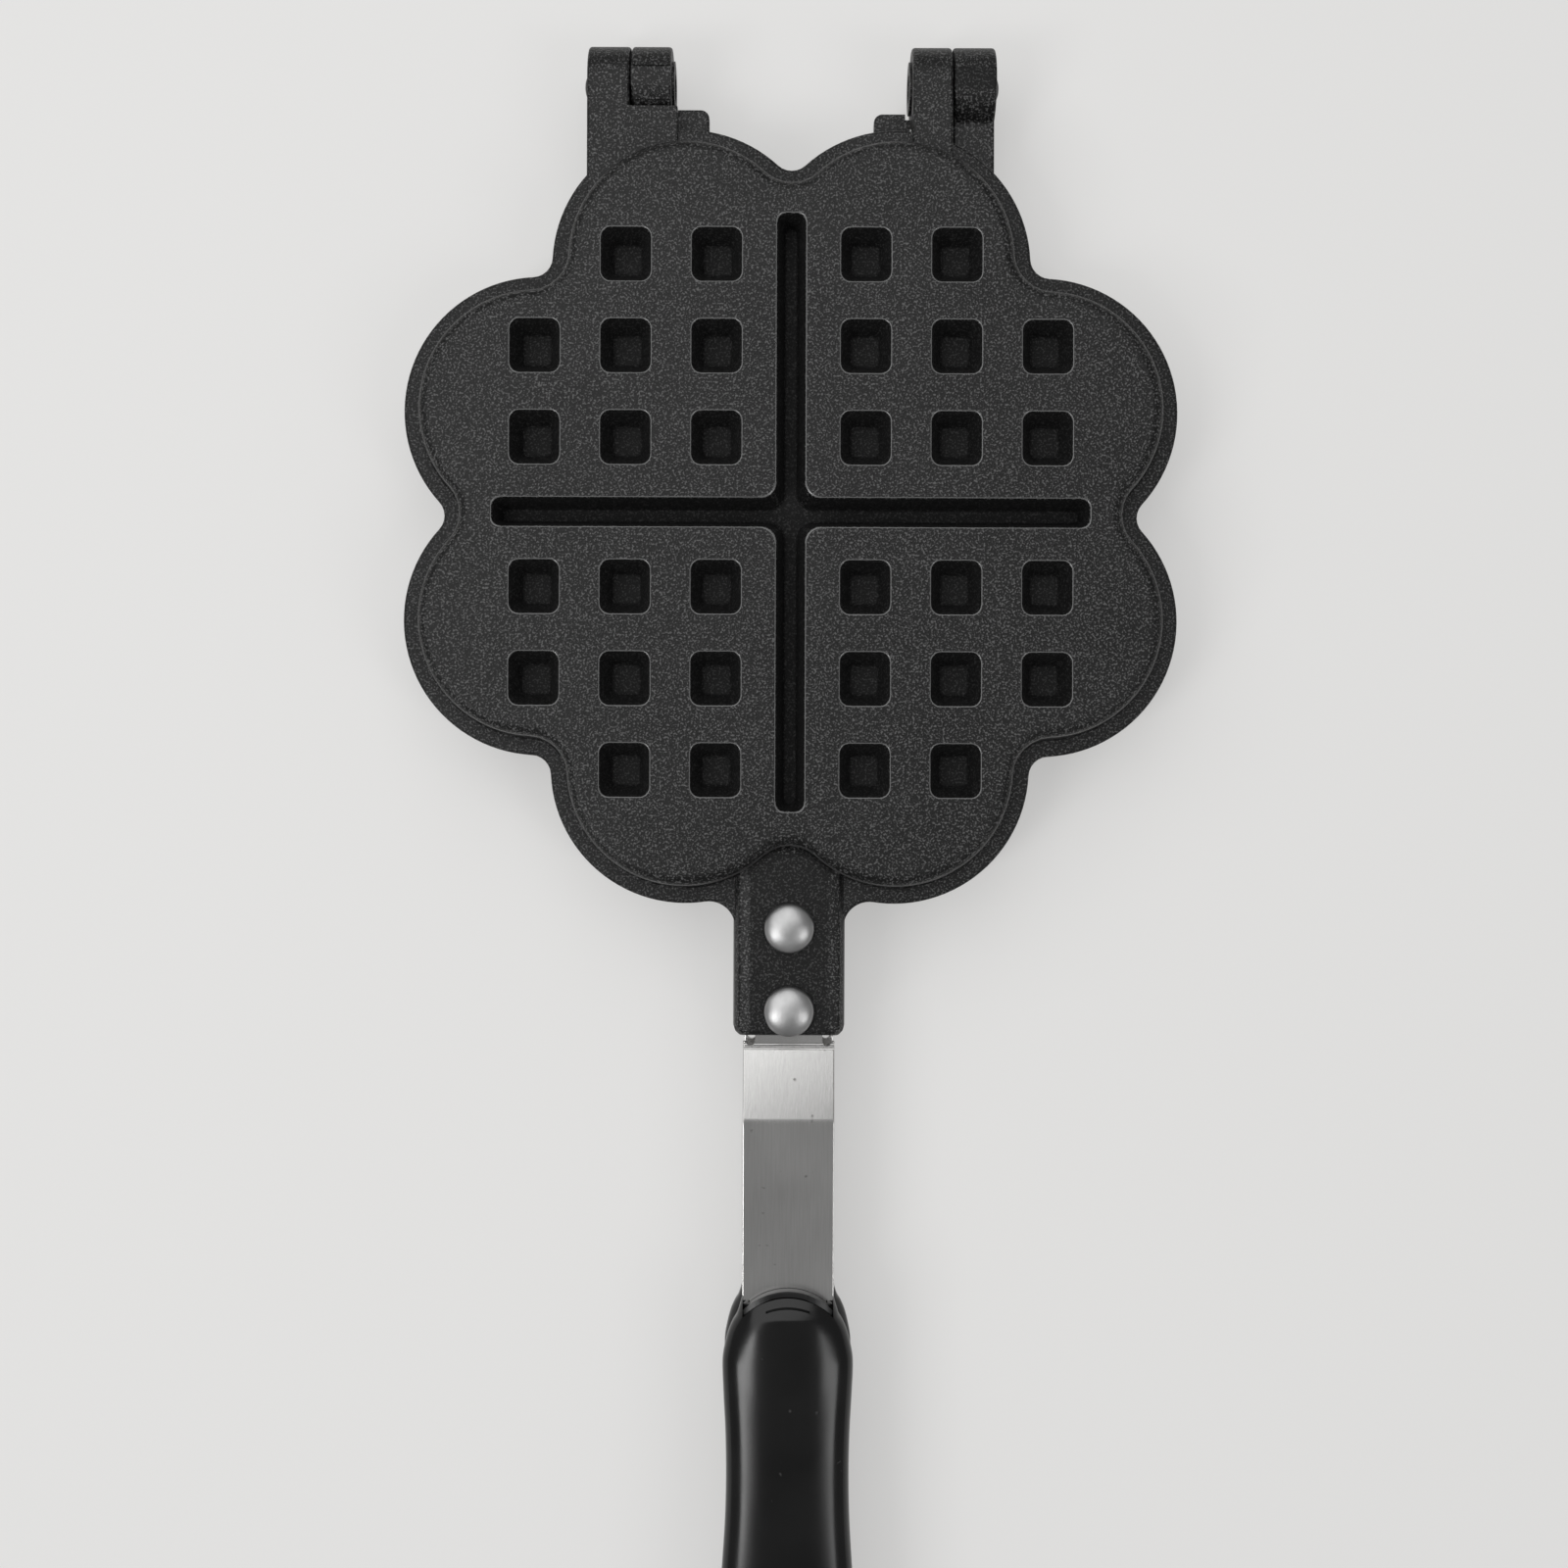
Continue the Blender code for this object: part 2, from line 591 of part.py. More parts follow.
def strap_path():
    """Middle of the strap as (reach, height, heading, half width)."""
    wide = STRAP_WIDTH / 2
    neck = NECK_WIDTH / 2
    tongue = TONGUE_WIDTH / 2
    path = [(CHANNEL_START + GAP, STRAP_MIDDLE, 0, wide), (NECK_START, STRAP_MIDDLE, 0, wide),
            (NECK_START + NECK_FLARE, STRAP_MIDDLE, 0, neck),
            (NECK_END - NECK_FLARE, STRAP_MIDDLE, 0, neck), (NECK_END, STRAP_MIDDLE, 0, wide)]
    slope = atan2(HANDLE_LEVEL - STRAP_MIDDLE, CRANK_END - CRANK_START)
    lift = CRANK_BEND * tan(slope)
    path += [(CRANK_START - CRANK_BEND, STRAP_MIDDLE, 0, wide),
             (CRANK_START, STRAP_MIDDLE + lift / 4, slope / 2, wide),
             (CRANK_START + CRANK_BEND, STRAP_MIDDLE + lift, slope, wide),
             (CRANK_END - CRANK_BEND, HANDLE_LEVEL - lift, slope, wide),
             (CRANK_END, HANDLE_LEVEL - lift / 4, slope / 2, wide),
             (CRANK_END + CRANK_BEND, HANDLE_LEVEL, 0, wide)]
    path += [(TONGUE_START - GAP, HANDLE_LEVEL, 0, wide), (TONGUE_START, HANDLE_LEVEL, 0, tongue),
             (STRAP_END, HANDLE_LEVEL, 0, tongue)]
    return path


def strap():
    rings = []
    half = STRAP_THICKNESS / 2
    for reach, z, turn, side in strap_path():
        up = Vector((0, sin(turn), cos(turn))) * half
        middle = Vector((0, -reach, z))
        across = Vector((side, 0, 0))
        rings.append([middle - across - up, middle + across - up,
                      middle + across + up, middle - across + up])
    holes = [("DIFFERENCE", upright_hole(RIVET_SHANK_RADIUS + GAP, reach, 0, TANG_TOP))
             for reach in (REAR_RIVET, FRONT_RIVET)]
    holes.append(("DIFFERENCE", upright_hole(SCREW_RADIUS + GAP, SCREW_PLACE, 0, PAN_TOP)))
    for side in (1, -1):
        relief = upright_hole(NECK_RELIEF, NECK_END, 0, TANG_TOP)
        bmesh.ops.translate(relief, verts=relief.verts, vec=(side * (NECK_WIDTH / 2 + NECK_RELIEF), 0, 0))
        holes.append(("DIFFERENCE", relief))
    return combine(to_mesh(loft(rings), "strap"), holes)


def collar_arc(reach, half_width):
    """Points across the handle on an arc that bulges towards the plate."""
    half = asin(half_width / COLLAR_RADIUS)
    return arc((0, -reach - COLLAR_RADIUS), COLLAR_RADIUS, pi / 2 - half, pi / 2 + half, COLLAR_STEPS)


def tongue_pocket(start, end):
    """The strap's tongue with its clearance all round."""
    half = TONGUE_WIDTH / 2 + GAP
    thick = STRAP_THICKNESS / 2 + GAP
    return block((-half, -end, HANDLE_LEVEL - thick), (half, -start, HANDLE_LEVEL + thick))


def collar():
    """Arched plate with chamfered faces and a slot for the strap."""
    rings = []
    for height, trim in ((-COLLAR_HALF_HEIGHT, COLLAR_CHAMFER), (COLLAR_CHAMFER - COLLAR_HALF_HEIGHT, 0),
                         (COLLAR_HALF_HEIGHT - COLLAR_CHAMFER, 0), (COLLAR_HALF_HEIGHT, COLLAR_CHAMFER)):
        front = collar_arc(COLLAR_NOSE + trim, COLLAR_HALF_WIDTH - trim)
        rear = collar_arc(COLLAR_NOSE + COLLAR_THICKNESS, COLLAR_HALF_WIDTH - trim)
        rings.append([(x, y, HANDLE_LEVEL + height) for x, y in front + rear[::-1]])
    return combine(to_mesh(loft(rings), "collar"),
                   [("DIFFERENCE", tongue_pocket(COLLAR_NOSE - OVERRUN, SCREW_PLACE))])


def grip_ring(along, wide, high):
    """A rounded oblong section across the grip, from shares of its sizes."""
    power = 2 / GRIP_ROUNDNESS
    reach = GRIP_START + GRIP_LENGTH * along
    half_width = GRIP_HALF_WIDTH * wide
    half_height = GRIP_HALF_HEIGHT * high
    ring = []
    for i in range(GRIP_POINTS):
        a = 2 * pi * i / GRIP_POINTS
        x = abs(cos(a)) ** power * (1 if cos(a) >= 0 else -1)
        z = abs(sin(a)) ** power * (1 if sin(a) >= 0 else -1)
        ring.append((half_width * x, -reach, HANDLE_LEVEL + half_height * z))
    return ring


def grip_mouth():
    """The space of the collar and all in front of it, between the two cheeks of the grip."""
    side = COLLAR_HALF_WIDTH + GAP
    front = -COLLAR_NOSE + OVERRUN
    plan = [(side, front), *collar_arc(COLLAR_NOSE + COLLAR_THICKNESS + GAP, side), (-side, front)]
    return loft([[(x, y, z) for x, y in plan] for z in (-OVERRUN, PAN_TOP + PAN_TOP)])


def grip():
    """Moulded grip with a rounded end, a pocket for the strap and a hole for the screw."""
    recess = upright_hole(SCREW_HEAD_RADIUS + GAP, SCREW_PLACE, GRIP_FACE - OVERRUN,
                          GRIP_FACE + SCREW_SINK + SCREW_HEAD_HEIGHT)
    shank = upright_hole(SCREW_RADIUS + GAP, SCREW_PLACE, GRIP_FACE, SCREW_TIP + GAP)
    return combine(to_mesh(loft([grip_ring(*shares) for shares in GRIP_SHARES]), "grip"),
                   [("DIFFERENCE", grip_mouth()),
                    ("DIFFERENCE", tongue_pocket(COLLAR_NOSE - OVERRUN, STRAP_END + GAP)),
                    ("DIFFERENCE", recess), ("DIFFERENCE", shank)])


def grip_screw():
    """Pan screw that enters from the parting side and crosses the strap."""
    seat = GRIP_FACE + SCREW_SINK
    under = seat + SCREW_HEAD_HEIGHT - GAP
    profile = [(0, seat), (SCREW_FACE_RADIUS, seat), (SCREW_HEAD_RADIUS, seat + SCREW_HEAD_EDGE),
               (SCREW_HEAD_RADIUS, under), (SCREW_RADIUS, under), (SCREW_RADIUS, SCREW_TIP), (0, SCREW_TIP)]
    bm = turned(profile, SCREW_STEPS)
    bmesh.ops.translate(bm, verts=bm.verts, vec=(0, -SCREW_PLACE, 0))
    return to_mesh(bm, "grip_screw")


def build():
    clear_scene()
    cast = coating("nonstick_coating", (0.028, 0.028, 0.028), 0.55, 0.0)
    steel = coating("brushed_steel", (0.50, 0.49, 0.47), 0.35, 1.0)
    aluminium = coating("satin_aluminium", (0.60, 0.60, 0.60), 0.35, 1.0)
    moulded = coating("black_plastic", (0.012, 0.012, 0.012), 0.20, 0.0)
    blackened = coating("blackened_steel", (0.025, 0.025, 0.025), 0.45, 0.6)

    iron = carrier("iron", None, (0, -IRON_CENTRE, PAN_TOP))
    pieces = (("plate", casting(), cast), ("rear_rivet", rivet(REAR_RIVET), aluminium),
              ("front_rivet", rivet(FRONT_RIVET), aluminium), ("strap", strap(), steel),
              ("collar", collar(), moulded), ("grip", grip(), moulded), ("grip_screw", grip_screw(), steel))
    for half, turn in (("upper", 0.0), ("lower", pi)):
        carried = carrier(half + "_half", iron, (0, HINGE_REACH, 0), turn)
        for name, mesh, finish in pieces:
            place(half + "_" + name, mesh, finish, carried, (0, -HINGE_REACH, 0))
    for name, side in (("hinge_pin_left", 1), ("hinge_pin_right", -1)):
        place(name, hinge_pin(side), blackened, carried, (0, -HINGE_REACH, 0))


build()
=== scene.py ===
# %% [markdown]
# # A stovetop waffle iron, dressed for the camera
# A waffle iron of this kind is two identical aluminium castings that hinge at the far end.
# Each casting carries a riveted steel strap, and each strap a moulded black grip. The plain
# CAD model is the frame here: it fixes every size and place, and the pieces below are finer
# versions of its parts, laid exactly over it.

# %% Load the frame
import json
from math import asin, atan2, cos, pi, radians, sin, sqrt, tan
import bmesh
import bpy
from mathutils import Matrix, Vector


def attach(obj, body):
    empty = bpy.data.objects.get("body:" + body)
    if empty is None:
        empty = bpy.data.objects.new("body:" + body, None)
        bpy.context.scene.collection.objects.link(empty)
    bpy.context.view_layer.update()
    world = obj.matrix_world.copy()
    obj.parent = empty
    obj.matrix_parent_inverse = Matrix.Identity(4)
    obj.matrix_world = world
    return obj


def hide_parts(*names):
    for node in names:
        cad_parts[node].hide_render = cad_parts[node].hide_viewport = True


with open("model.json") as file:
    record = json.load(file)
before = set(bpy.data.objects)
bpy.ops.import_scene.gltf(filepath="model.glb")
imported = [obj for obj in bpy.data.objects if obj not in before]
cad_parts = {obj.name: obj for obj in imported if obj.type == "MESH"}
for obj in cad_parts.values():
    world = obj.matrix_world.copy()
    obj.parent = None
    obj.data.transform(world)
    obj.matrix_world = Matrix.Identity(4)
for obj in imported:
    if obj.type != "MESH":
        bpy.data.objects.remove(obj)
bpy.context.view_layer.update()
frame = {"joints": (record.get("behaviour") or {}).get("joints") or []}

# %% [markdown]
# ## The frame of one casting
# Both halves are the same set of parts, so each part is modelled once, in a frame whose
# origin is the centre of the plate on the plane where the halves meet. +Y runs to the
# hinge, -Y to the grip and +Z away from the other half. The hinge joint of the record says
# where that frame stands in the whole iron.

# %% Units and the place of the casting's frame
MM = 0.001
UP = Vector((0, 0, 1))
DOWN = Vector((0, 0, -1))
HINGE_REACH = 101.1 * MM
hinge_place = Vector(frame["joints"][0]["pos_m"])
casting_place = hinge_place - Vector((0, HINGE_REACH, 0))
print("Plate centre in the iron:", tuple(round(c, 6) for c in casting_place))

# %% [markdown]
# ## Camera
# The photograph looks straight down. The iron lies under the middle of the picture, and the
# grips run out of it at the bottom. A lens a little longer than normal, from half a metre,
# gives the small parallax between the upper and the lower half that the photograph shows.

# %% Camera
CAMERA_PLACE = (-1.3 * MM, 33.4 * MM, 480.5 * MM)
CAMERA_TURN = radians(0.2)
LENS = 45.63
SENSOR_WIDTH = 36.0
NEAREST_SEEN = 10 * MM
bpy.ops.object.camera_add(location=CAMERA_PLACE, rotation=(0, 0, CAMERA_TURN))
camera = bpy.context.object
camera.name = "camera"
camera.data.lens = LENS
camera.data.sensor_width = SENSOR_WIDTH
camera.data.clip_start = NEAREST_SEEN
bpy.context.scene.camera = camera
print("Camera height over the floor, metres:", camera.location.z)

# %% [markdown]
# ## Nodes by function
# A finish is a tree of shader nodes. Four helpers keep the trees readable: one feeds a
# socket, one adds a node and feeds its sockets, one starts a new material, and one shows a
# brighter surface to the camera alone. With them, a finish is written in the order in which
# a painter would think of it, from grain to gloss.

# %% Helpers for shader nodes
def feed(tree, socket, source):
    """Link an output to a socket, or write a number or a colour into it."""
    if isinstance(source, bpy.types.NodeSocket):
        tree.links.new(source, socket)
    else:
        socket.default_value = (*source, 1.0) if isinstance(source, tuple) else source


def add(tree, kind, sources, output=0, **settings):
    """Add a node, feed its sockets by name or number, and return one of its outputs."""
    node = tree.nodes.new("ShaderNode" + kind)
    for setting, value in settings.items():
        setattr(node, setting, value)
    for label, source in sources.items():
        feed(tree, node.inputs[label], source)
    return node.outputs[output]


def new_finish(name, metallic=0.0, specular=0.5):
    finish = bpy.data.materials.new(name)
    finish.use_nodes = True
    shader = finish.node_tree.nodes["Principled BSDF"]
    shader.inputs["Metallic"].default_value = metallic
    shader.inputs["Specular IOR Level"].default_value = specular
    return finish, finish.node_tree, shader


def brighten_for_camera(tree, plain, bright, share, end):
    """Mix a brighter surface in where the camera looks at it."""
    seen = add(tree, "LightPath", {}, "Is Camera Ray")
    amount = add(tree, "Math", {0: seen, 1: share}, operation="MULTIPLY")
    mixed = add(tree, "MixShader", {"Fac": amount, 1: plain, 2: bright})
    feed(tree, tree.nodes[end].inputs["Surface"], mixed)


# %% [markdown]
# ## Floor
# A plain pale floor takes the place of a table. It is a real surface, so it keeps the
# iron's soft shadow. Its paleness comes from its own colour and from a white that only the
# camera sees, and not from more light.

# %% Floor
FLOOR_SIZE = 8.0
FLOOR_COLOUR = (0.80, 0.795, 0.785)
FLOOR_ROUGHNESS = 0.65
FLOOR_WHITE = (0.90, 0.895, 0.885)
FLOOR_WHITE_SHARE = 0.45
bpy.ops.mesh.primitive_plane_add(size=FLOOR_SIZE, location=(0, 0, 0))
floor = bpy.context.object
floor.name = "floor"
floor_finish, tree, shader = new_finish("pale_floor", specular=0.2)
feed(tree, shader.inputs["Base Color"], FLOOR_COLOUR)
feed(tree, shader.inputs["Roughness"], FLOOR_ROUGHNESS)
paper_white = add(tree, "Emission", {"Color": FLOOR_WHITE})
brighten_for_camera(tree, shader.outputs["BSDF"], paper_white, FLOOR_WHITE_SHARE, "Material Output")
floor.data.materials.append(floor_finish)
print("Floor:", floor.name)

# %% [markdown]
# ## Light
# Black non-stick metal shows almost only what it reflects. The photograph has an even grey
# surround, a wide soft light high beyond the hinge that whitens the sloping part of the
# strap, and a smaller one on either side of the grip, the left one brighter, that draw the
# bright lines along it. Three such lights and a grey world are set here at a plain level.

# %% Light
def softbox(name, place, aim, size, radiance):
    """A rectangular soft light that faces a point, with its brightness given as radiance."""
    direction = Vector(aim) - Vector(place)
    bpy.ops.object.light_add(type="AREA", location=place)
    lamp = bpy.context.object
    lamp.name = name
    lamp.rotation_euler = direction.to_track_quat("-Z", "Y").to_euler()
    lamp.data.shape = "RECTANGLE"
    lamp.data.size, lamp.data.size_y = size
    lamp.data.energy = radiance * pi * size[0] * size[1]


softbox("softbox_far", place=(-0.20, 0.386, 0.79), aim=(0, -0.02, 0), size=(1.14, 0.904), radiance=1.25)
softbox("softbox_left", place=(-0.71, -0.42, 1.09), aim=(0, -0.1, 0), size=(0.27, 0.60), radiance=7.5)
softbox("softbox_right", place=(0.71, -0.42, 1.09), aim=(0, -0.1, 0), size=(0.27, 0.60), radiance=4.0)

WORLD_GREY = (0.24, 0.24, 0.24)
BACKDROP = (0.78, 0.78, 0.77)
world = bpy.data.worlds.new("studio")
world.use_nodes = True
bpy.context.scene.world = world
tree = world.node_tree
surround = tree.nodes["Background"]
feed(tree, surround.inputs["Color"], WORLD_GREY)
backdrop = add(tree, "Background", {"Color": BACKDROP})
brighten_for_camera(tree, surround.outputs["Background"], backdrop, 1.0, "World Output")
bpy.context.scene.view_settings.view_transform = "Standard"

# %% [markdown]
# ## Shared surface effects
# Several finishes share the same effects, so each effect is a node group with named inputs
# and outputs. The first is the grain of sprayed or moulded surfaces: fine specks over a slow
# change of tone. It is read from Object coordinates in metres, so its size is a real one.

# %% Node group: grain
def new_effect(name, inputs, outputs):
    """An empty node group of number sockets, with what it is given and what it makes."""
    tree = bpy.data.node_groups.new(name, "ShaderNodeTree")
    for label, value in inputs.items():
        tree.interface.new_socket(label, in_out="INPUT", socket_type="NodeSocketFloat").default_value = value
    for label in outputs:
        tree.interface.new_socket(label, in_out="OUTPUT", socket_type="NodeSocketFloat")
    return tree, tree.nodes.new("NodeGroupInput").outputs, tree.nodes.new("NodeGroupOutput").inputs


def noise(tree, place, scale, detail, roughness=0.5):
    return add(tree, "TexNoise", {"Vector": place, "Scale": scale, "Detail": detail, "Roughness": roughness})


def remap(tree, value, low, high, new_low=0.0, new_high=1.0):
    return add(tree, "MapRange", {"Value": value, "From Min": low, "From Max": high,
                                  "To Min": new_low, "To Max": new_high})


grain, given, made = new_effect(
    "grain", {"Fine Scale": 1500.0, "Broad Scale": 45.0}, ("Specks", "Tone", "Height"))
place = add(grain, "TexCoord", {}, "Object")
fine = noise(grain, place, given["Fine Scale"], detail=1.0)
broad = noise(grain, place, given["Broad Scale"], detail=3.0)
feed(grain, made["Specks"], remap(grain, fine, low=0.53, high=0.68))
feed(grain, made["Tone"], remap(grain, broad, low=0.35, high=0.65))
feed(grain, made["Height"], fine)
print("Effect:", grain.name)

# %% [markdown]
# Brushed metal has fine scratches in one direction. Noise that is stretched far more along
# the brushing than across it gives them. The scale inputs choose the direction, so that the
# strap is brushed along its length with the same group that gives the screws their marks.

# %% Node group: brushing
brushing, given, made = new_effect("brushing", {"Across": 4000.0, "Along": 90.0}, ("Lines", "Height"))
split = brushing.nodes.new("ShaderNodeSeparateXYZ")
feed(brushing, split.inputs["Vector"], add(brushing, "TexCoord", {}, "Object"))
stretched = {axis: add(brushing, "Math", {0: split.outputs[axis], 1: given[label]}, operation="MULTIPLY")
             for axis, label in (("X", "Across"), ("Y", "Along"), ("Z", "Across"))}
scratches = noise(brushing, add(brushing, "CombineXYZ", stretched), scale=1.0, detail=2.0)
feed(brushing, made["Lines"], remap(brushing, scratches, low=0.3, high=0.7))
feed(brushing, made["Height"], scratches)
print("Effect:", brushing.name)

# %% [markdown]
# Use leaves small scuffs and pits. A few rare dark marks come from the sparse peaks of one
# noise, and a soft smudge from a slow one. Both only steer colour and roughness.

# %% Node group: handling marks
handling, given, made = new_effect(
    "handling", {"Mark Scale": 260.0, "Smudge Scale": 30.0}, ("Marks", "Smudge"))
place = add(handling, "TexCoord", {}, "Object")
marks = noise(handling, place, given["Mark Scale"], detail=1.0)
smudge = noise(handling, place, given["Smudge Scale"], detail=2.0, roughness=0.6)
feed(handling, made["Marks"], remap(handling, marks, low=0.76, high=0.84))
feed(handling, made["Smudge"], remap(handling, smudge, low=0.3, high=0.7))
print("Effect:", handling.name)

# %% [markdown]
# ## Finishes
# Each finish is one Principled shader. The groups feed its colour, its roughness and a Bump
# node, and what is the same all over is set on the shader itself.

# %% Helpers for finishes
def place_effect(tree, effect, scales):
    """Place a node group in a finish with its two scales, and return its outputs."""
    node = tree.nodes.new("ShaderNodeGroup")
    node.node_tree = effect
    for socket, scale in zip(node.inputs, scales):
        socket.default_value = scale
    return node.outputs


def grey(value):
    return (value, value, value)


def mix_colour(tree, amount, colour_a, colour_b):
    """Blend two colours, each given as a colour or as another node's output."""
    return add(tree, "Mix", {"Factor": amount, 6: colour_a, 7: colour_b}, 2, data_type="RGBA")


def between(tree, share, start, end):
    """A number that goes from start to end as the share goes from 0 to 1."""
    return remap(tree, share, 0.0, 1.0, start, end)


def dress(tree, shader, colour, roughness, height, bump_depth, bump_strength=1.0):
    """Feed the colour, the roughness and a bump of a given depth into a shader."""
    feed(tree, shader.inputs["Base Color"], colour)
    feed(tree, shader.inputs["Roughness"], roughness)
    bump = add(tree, "Bump", {"Height": height, "Distance": bump_depth, "Strength": bump_strength})
    feed(tree, shader.inputs["Normal"], bump)


# %% [markdown]
# The castings have a black non-stick coating, sprayed on and baked. In the photograph it is
# a dark grey with light specks about half a millimetre wide, a little uneven from place to
# place, and its texture breaks up the reflections. Shade is painted into the pits and the
# groove as a darker, rougher colour. The tang, the undersides of the barrels and the rim are
# painted a little darker, with fewer specks, so each face stores a share. A highlight is
# painted on the rounded edge of the pan and the mouths of the pits as a brighter, smoother,
# slightly metallic colour, and a second stored value says where.

# %% Finish: non-stick coating
SHADE_AND_TONE = "spray"
EDGE_HIGHLIGHT = "painted_edge_highlight"
# The darkest colour paints shade into the pits and the groove.
PAINTED_SHADE_BLACK = grey(0.002)
BLACKS = (grey(0.003), grey(0.006))
SPECK = grey(0.110)
# A lighter grey paints a highlight on the rounded edges.
PAINTED_HIGHLIGHT_GREY = grey(0.17)
COATING_GRAIN = (2200.0, 40.0)
ROUGH_IN_PAINTED_SHADE = 0.85
ROUGH_SPRAYED = 0.38
ROUGH_ON_HIGHLIGHT = 0.24
METALLIC_ON_HIGHLIGHT = 0.25
RELIEF_LEFT = 0.1
RELIEF_DEPTH = 0.14 * MM
coating, tree, shader = new_finish("speckled_coating", specular=0.30)
sprayed = place_effect(tree, grain, COATING_GRAIN)
# One stored share paints shade into the recesses and darkens the tang, the barrels' undersides and the rim.
# The other paints highlights on the rounded edges.
shade_tone = add(tree, "Attribute", {}, "Fac", attribute_name=SHADE_AND_TONE)
edge_highlight = add(tree, "Attribute", {}, "Fac", attribute_name=EDGE_HIGHLIGHT)
speckled = mix_colour(tree, sprayed["Specks"], mix_colour(tree, sprayed["Tone"], *BLACKS), SPECK)
shaded_and_highlighted = mix_colour(tree, edge_highlight, mix_colour(tree, shade_tone, PAINTED_SHADE_BLACK, speckled), PAINTED_HIGHLIGHT_GREY)
matt = between(tree, shade_tone, ROUGH_IN_PAINTED_SHADE, ROUGH_SPRAYED)
smooth = add(tree, "Mix", {"Factor": edge_highlight, "A": matt, "B": ROUGH_ON_HIGHLIGHT})
calm = between(tree, edge_highlight, 1.0, RELIEF_LEFT)
relief = add(tree, "Math", {0: sprayed["Height"], 1: calm}, operation="MULTIPLY")
feed(tree, shader.inputs["Metallic"], between(tree, edge_highlight, 0.0, METALLIC_ON_HIGHLIGHT))
dress(tree, shader, shaded_and_highlighted, smooth, relief, RELIEF_DEPTH)
print("Finish:", coating.name)

# %% [markdown]
# The other finishes follow one recipe: an effect gives the tone and the bump, and handling
# marks lie over it. The strap is stainless sheet, brushed along its length. It reflects the
# grey room where it is flat and the soft light where it slopes, so most of its look is
# roughness and light. The rivets are plain aluminium with a satin skin. Their domes gather
# the whole room, so a higher roughness keeps the three lights as soft patches.

# %% Finishes: brushed strap and satin rivets
def used_finish(name, effect, scales, marks_at, tone, colours, mark, roughness, bump,
                relief="Height", **look):
    """A finish of one effect under handling marks.

    The smudges steer the roughness over its range, and the bump is a depth and a strength."""
    finish, tree, shader = new_finish(name, **look)
    skin = place_effect(tree, effect, scales)
    used = place_effect(tree, handling, marks_at)
    marked = mix_colour(tree, used["Marks"], mix_colour(tree, skin[tone], *colours), mark)
    dress(tree, shader, marked, between(tree, used["Smudge"], *roughness), skin[relief], *bump)
    print("Finish:", name)
    return finish


strap_finish = used_finish(
    "brushed_stainless", brushing, scales=(3500.0, 120.0), marks_at=(420.0, 45.0), metallic=1.0,
    tone="Lines", colours=((0.60, 0.595, 0.585), (0.65, 0.645, 0.635)), mark=(0.20, 0.19, 0.18),
    roughness=(0.17, 0.23), bump=(0.01 * MM, 0.5))
rivet_finish = used_finish(
    "satin_aluminium_rivet", grain, scales=(2500.0, 220.0), marks_at=(900.0, 160.0), metallic=1.0,
    tone="Tone", colours=(grey(0.43), grey(0.52)), mark=grey(0.45),
    roughness=(0.34, 0.42), bump=(0.03 * MM, 0.6))

# %% [markdown]
# The grips and collars are moulded in black thermoset, the grips with a polished skin. A
# fine grain only shows in the highlights, and handling leaves faint smudges there. The hinge
# pins are steel, blackened so that they disappear between the castings. The grip screws are
# plain steel with turning marks.

# %% Finishes: mouldings, pins and screws
def moulded_finish(name, roughness):
    return used_finish(name, grain, scales=(1800.0, 70.0), marks_at=(500.0, 60.0), specular=0.42,
                       tone="Tone", colours=BLACKS, mark=grey(0.05), roughness=roughness,
                       bump=(0.01 * MM, 0.5))


grip_finish = moulded_finish("moulded_grip_black", roughness=(0.17, 0.23))
collar_finish = moulded_finish("moulded_collar_black", roughness=(0.28, 0.36))
pin_finish = used_finish(
    "blackened_pin", handling, scales=(700.0, 200.0), marks_at=(700.0, 200.0), metallic=0.6,
    tone="Smudge", colours=((0.020, 0.020, 0.021), (0.035, 0.035, 0.036)), mark=grey(0.16),
    roughness=(0.38, 0.5), bump=(0.02 * MM, 0.4), relief="Smudge")
screw_finish = used_finish(
    "plain_screw_steel", brushing, scales=(5000.0, 400.0), marks_at=(900.0, 250.0), metallic=1.0,
    tone="Lines", colours=((0.46, 0.45, 0.43), (0.60, 0.59, 0.57)), mark=(0.15, 0.14, 0.13),
    roughness=(0.25, 0.4), bump=(0.01 * MM, 0.5))

# %% [markdown]
# ## Modelling helpers
# Castings and mouldings have rounded edges everywhere, because metal and plastic only leave
# a mould that way. Most forms here start as a filled circle whose points are moved onto an
# outline. The sheet is extruded, and its end face is then inset again and again. Each inset
# has a thickness and a depth, so a list of insets draws the profile of the edge: a bend, a
# straight run, and the next bend.

# %% Helpers: select, trace and thicken
MERGE = 0.001 * MM


def pick(piece):
    """Leave edit mode and select one piece alone."""
    if bpy.context.object and bpy.context.object.mode != "OBJECT":
        bpy.ops.object.mode_set(mode="OBJECT")
    bpy.ops.object.select_all(action="DESELECT")
    if piece:
        piece.select_set(True)
        bpy.context.view_layer.objects.active = piece


def arc(centre, radius, start, end, steps):
    """Points on a circle, both ends included, angles in radians."""
    turns = [start + (end - start) * i / steps for i in range(steps + 1)]
    return [(centre[0] + radius * cos(a), centre[1] + radius * sin(a)) for a in turns]


def trace(name, points):
    """A filled circle with one point for each corner of the outline, moved onto it."""
    pick(None)
    bpy.ops.mesh.primitive_circle_add(vertices=len(points), radius=1.0, fill_type="NGON")
    sheet = bpy.context.object
    sheet.name = name
    for vertex, place in zip(sheet.data.vertices, points):
        vertex.co = place
    return sheet


def edit_all(piece):
    pick(piece)
    bpy.ops.object.mode_set(mode="EDIT")
    bpy.ops.mesh.select_mode(type="FACE")
    bpy.ops.mesh.select_all(action="SELECT")


